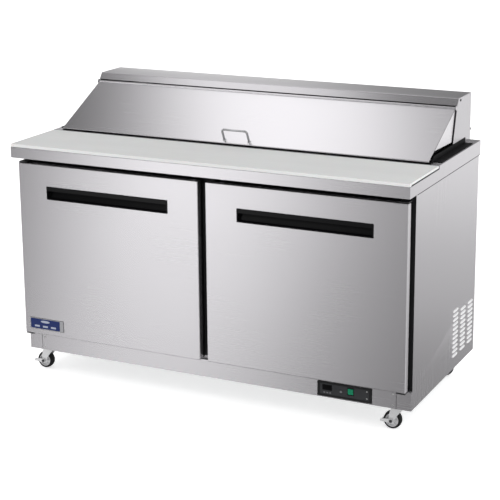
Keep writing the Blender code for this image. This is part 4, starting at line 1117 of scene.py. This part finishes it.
# ---- studio
def build_floor():
    bm = bmesh.new()
    bmesh.ops.create_grid(bm, x_segments=1, y_segments=1, size=30.0)
    mesh = bpy.data.meshes.new("floor")
    bm.to_mesh(mesh)
    bm.free()
    floor = bpy.data.objects.new("floor", mesh)
    scene.collection.objects.link(floor)
    floor.location.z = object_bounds()[0].z - 0.0005
    look = Shader("pale_floor", (0.93, 0.93, 0.93), 0.9, Emission_Strength=0.6)
    look.set("Emission Color", (1.0, 1.0, 1.0))
    look.tint(look.noise(look.place(), scale=2.0), 0.01)
    # Glossy reflections look past the floor to the studio's soft walls.
    path = look.node("ShaderNodeLightPath")
    clear = look.node("ShaderNodeBsdfTransparent")
    look.surface(path.outputs["Is Glossy Ray"], look.bsdf.outputs["BSDF"], clear.outputs["BSDF"],
                 look.tree.nodes["Material Output"].inputs["Surface"])
    mesh.materials.append(look.material)


def build_world():
    """A white studio: one tall soft band to the left between darker walls, even light far out."""
    world = bpy.data.worlds.new("studio")
    scene.world = world
    world.use_nodes = True
    world.node_tree.nodes.clear()
    look = Nodes(world.node_tree)

    def ramp(source, stops):
        """Brightness over -1..1, as (place, grey) stops."""
        made = look.node("ShaderNodeValToRGB")
        made.color_ramp.interpolation = "EASE"
        points = made.color_ramp.elements
        while len(points) < len(stops):
            points.new(0.5)
        for point, (place, grey) in zip(points, stops):
            point.position = (place + 1) / 2
            point.color = (grey, grey, grey, 1.0)
        look.link(look.ranged(source, 0.0, 1.0, -1.0, 1.0), made.inputs["Fac"])
        return made.outputs["Color"]

    coordinates = look.node("ShaderNodeTexCoord")
    split = look.node("ShaderNodeSeparateXYZ")
    look.link(coordinates.outputs["Generated"], split.inputs["Vector"])
    x, y, z = (split.outputs[axis] for axis in "XYZ")
    leaning = look.maths("ADD", look.maths("MULTIPLY", z, BAND_LEAN), x)
    walls = look.blend(1.0, ramp(leaning, SIDE_LIGHT), ramp(z, HEIGHT_LIGHT), blend_type="MULTIPLY")
    # High in front of the table the walls are lit in their own way, which the hood's lip shows.
    front, high = look.ranged(y, 0.0, 1.0, -0.08, -0.3), look.ranged(z, 0.0, 1.0, 0.45, 0.62)
    walls = look.blend(look.maths("MULTIPLY", front, high), walls, ramp(x, FRONT_LIGHT))
    # Far to either side the walls are evenly lit, which only views from other angles show.
    far = look.maths("ABSOLUTE", x, 0.0)
    away = look.ranged(far, 0.0, 1.0, 0.62, 0.69, interpolation_type="SMOOTHSTEP")
    walls = look.blend(away, walls, ramp(z, FAR_LIGHT))
    lit, white = (look.node("ShaderNodeBackground") for _ in range(2))
    look.feed(lit.inputs["Strength"], STUDIO_POWER)
    look.feed(lit.inputs["Color"], walls)
    look.feed(white.inputs["Color"], (1.0, 1.0, 1.0))
    seen = look.node("ShaderNodeLightPath")
    output = look.node("ShaderNodeOutputWorld")
    look.surface(seen.outputs["Is Camera Ray"], lit.outputs["Background"], white.outputs["Background"],
                 output.inputs["Surface"])


def build_light(name, place, target, size, power):
    data = bpy.data.lights.new(name, "AREA")
    data.shape = "RECTANGLE"
    data.size, data.size_y = size
    data.energy = power
    light = bpy.data.objects.new(name, data)
    scene.collection.objects.link(light)
    light.location = place
    light.visible_glossy = False
    light.rotation_euler = (Vector(target) - Vector(place)).to_track_quat("-Z", "Y").to_euler()


def build_camera():
    """From the front right, a little above the hood."""
    data = bpy.data.cameras.new("camera")
    data.sensor_width = 36.0
    data.lens = 105.98
    data.shift_y = -0.1
    camera = bpy.data.objects.new("camera", data)
    scene.collection.objects.link(camera)
    yaw, pitch, roll = math.radians(26.025), math.radians(14.126), math.radians(-0.436)
    turn = (Matrix.Rotation(yaw, 4, "Z") @ Matrix.Rotation(math.pi / 2 - pitch, 4, "X")
            @ Matrix.Rotation(roll, 4, "Z"))
    camera.matrix_world = Matrix.Translation((2.339, -4.756, 2.017)) @ turn
    scene.camera = camera


finish_nodes()
for label, side in SIDES:
    build_handle(label)
    build_gasket(label)
    build_shade_band(label)
    build_inner_panel(label)
    build_brake(label)
    build_shelf(label)
    for depth in ("front", "rear"):
        build_wheel(depth, label)
        build_fork(depth, label)
build_jambs()
build_plate()
build_board()
build_lid()
build_lid_handle()
build_pans()
build_hood()
build_controls()
build_louvres()
build_rear_details()
build_kick_screws()
build_skirt_shadow_strip()
build_pilasters()
build_evaporator()
build_piping()
build_floor()
build_world()
build_light("key", (-1.6, -2.6, 3.6), (0.0, 0.0, 0.6), (2.4, 1.6), 16.0)
build_light("fill", (3.4, -0.6, 2.8), (0.4, 0.0, 0.5), (1.8, 1.8), 22.0)
build_camera()
scene.view_settings.view_transform = "Standard"
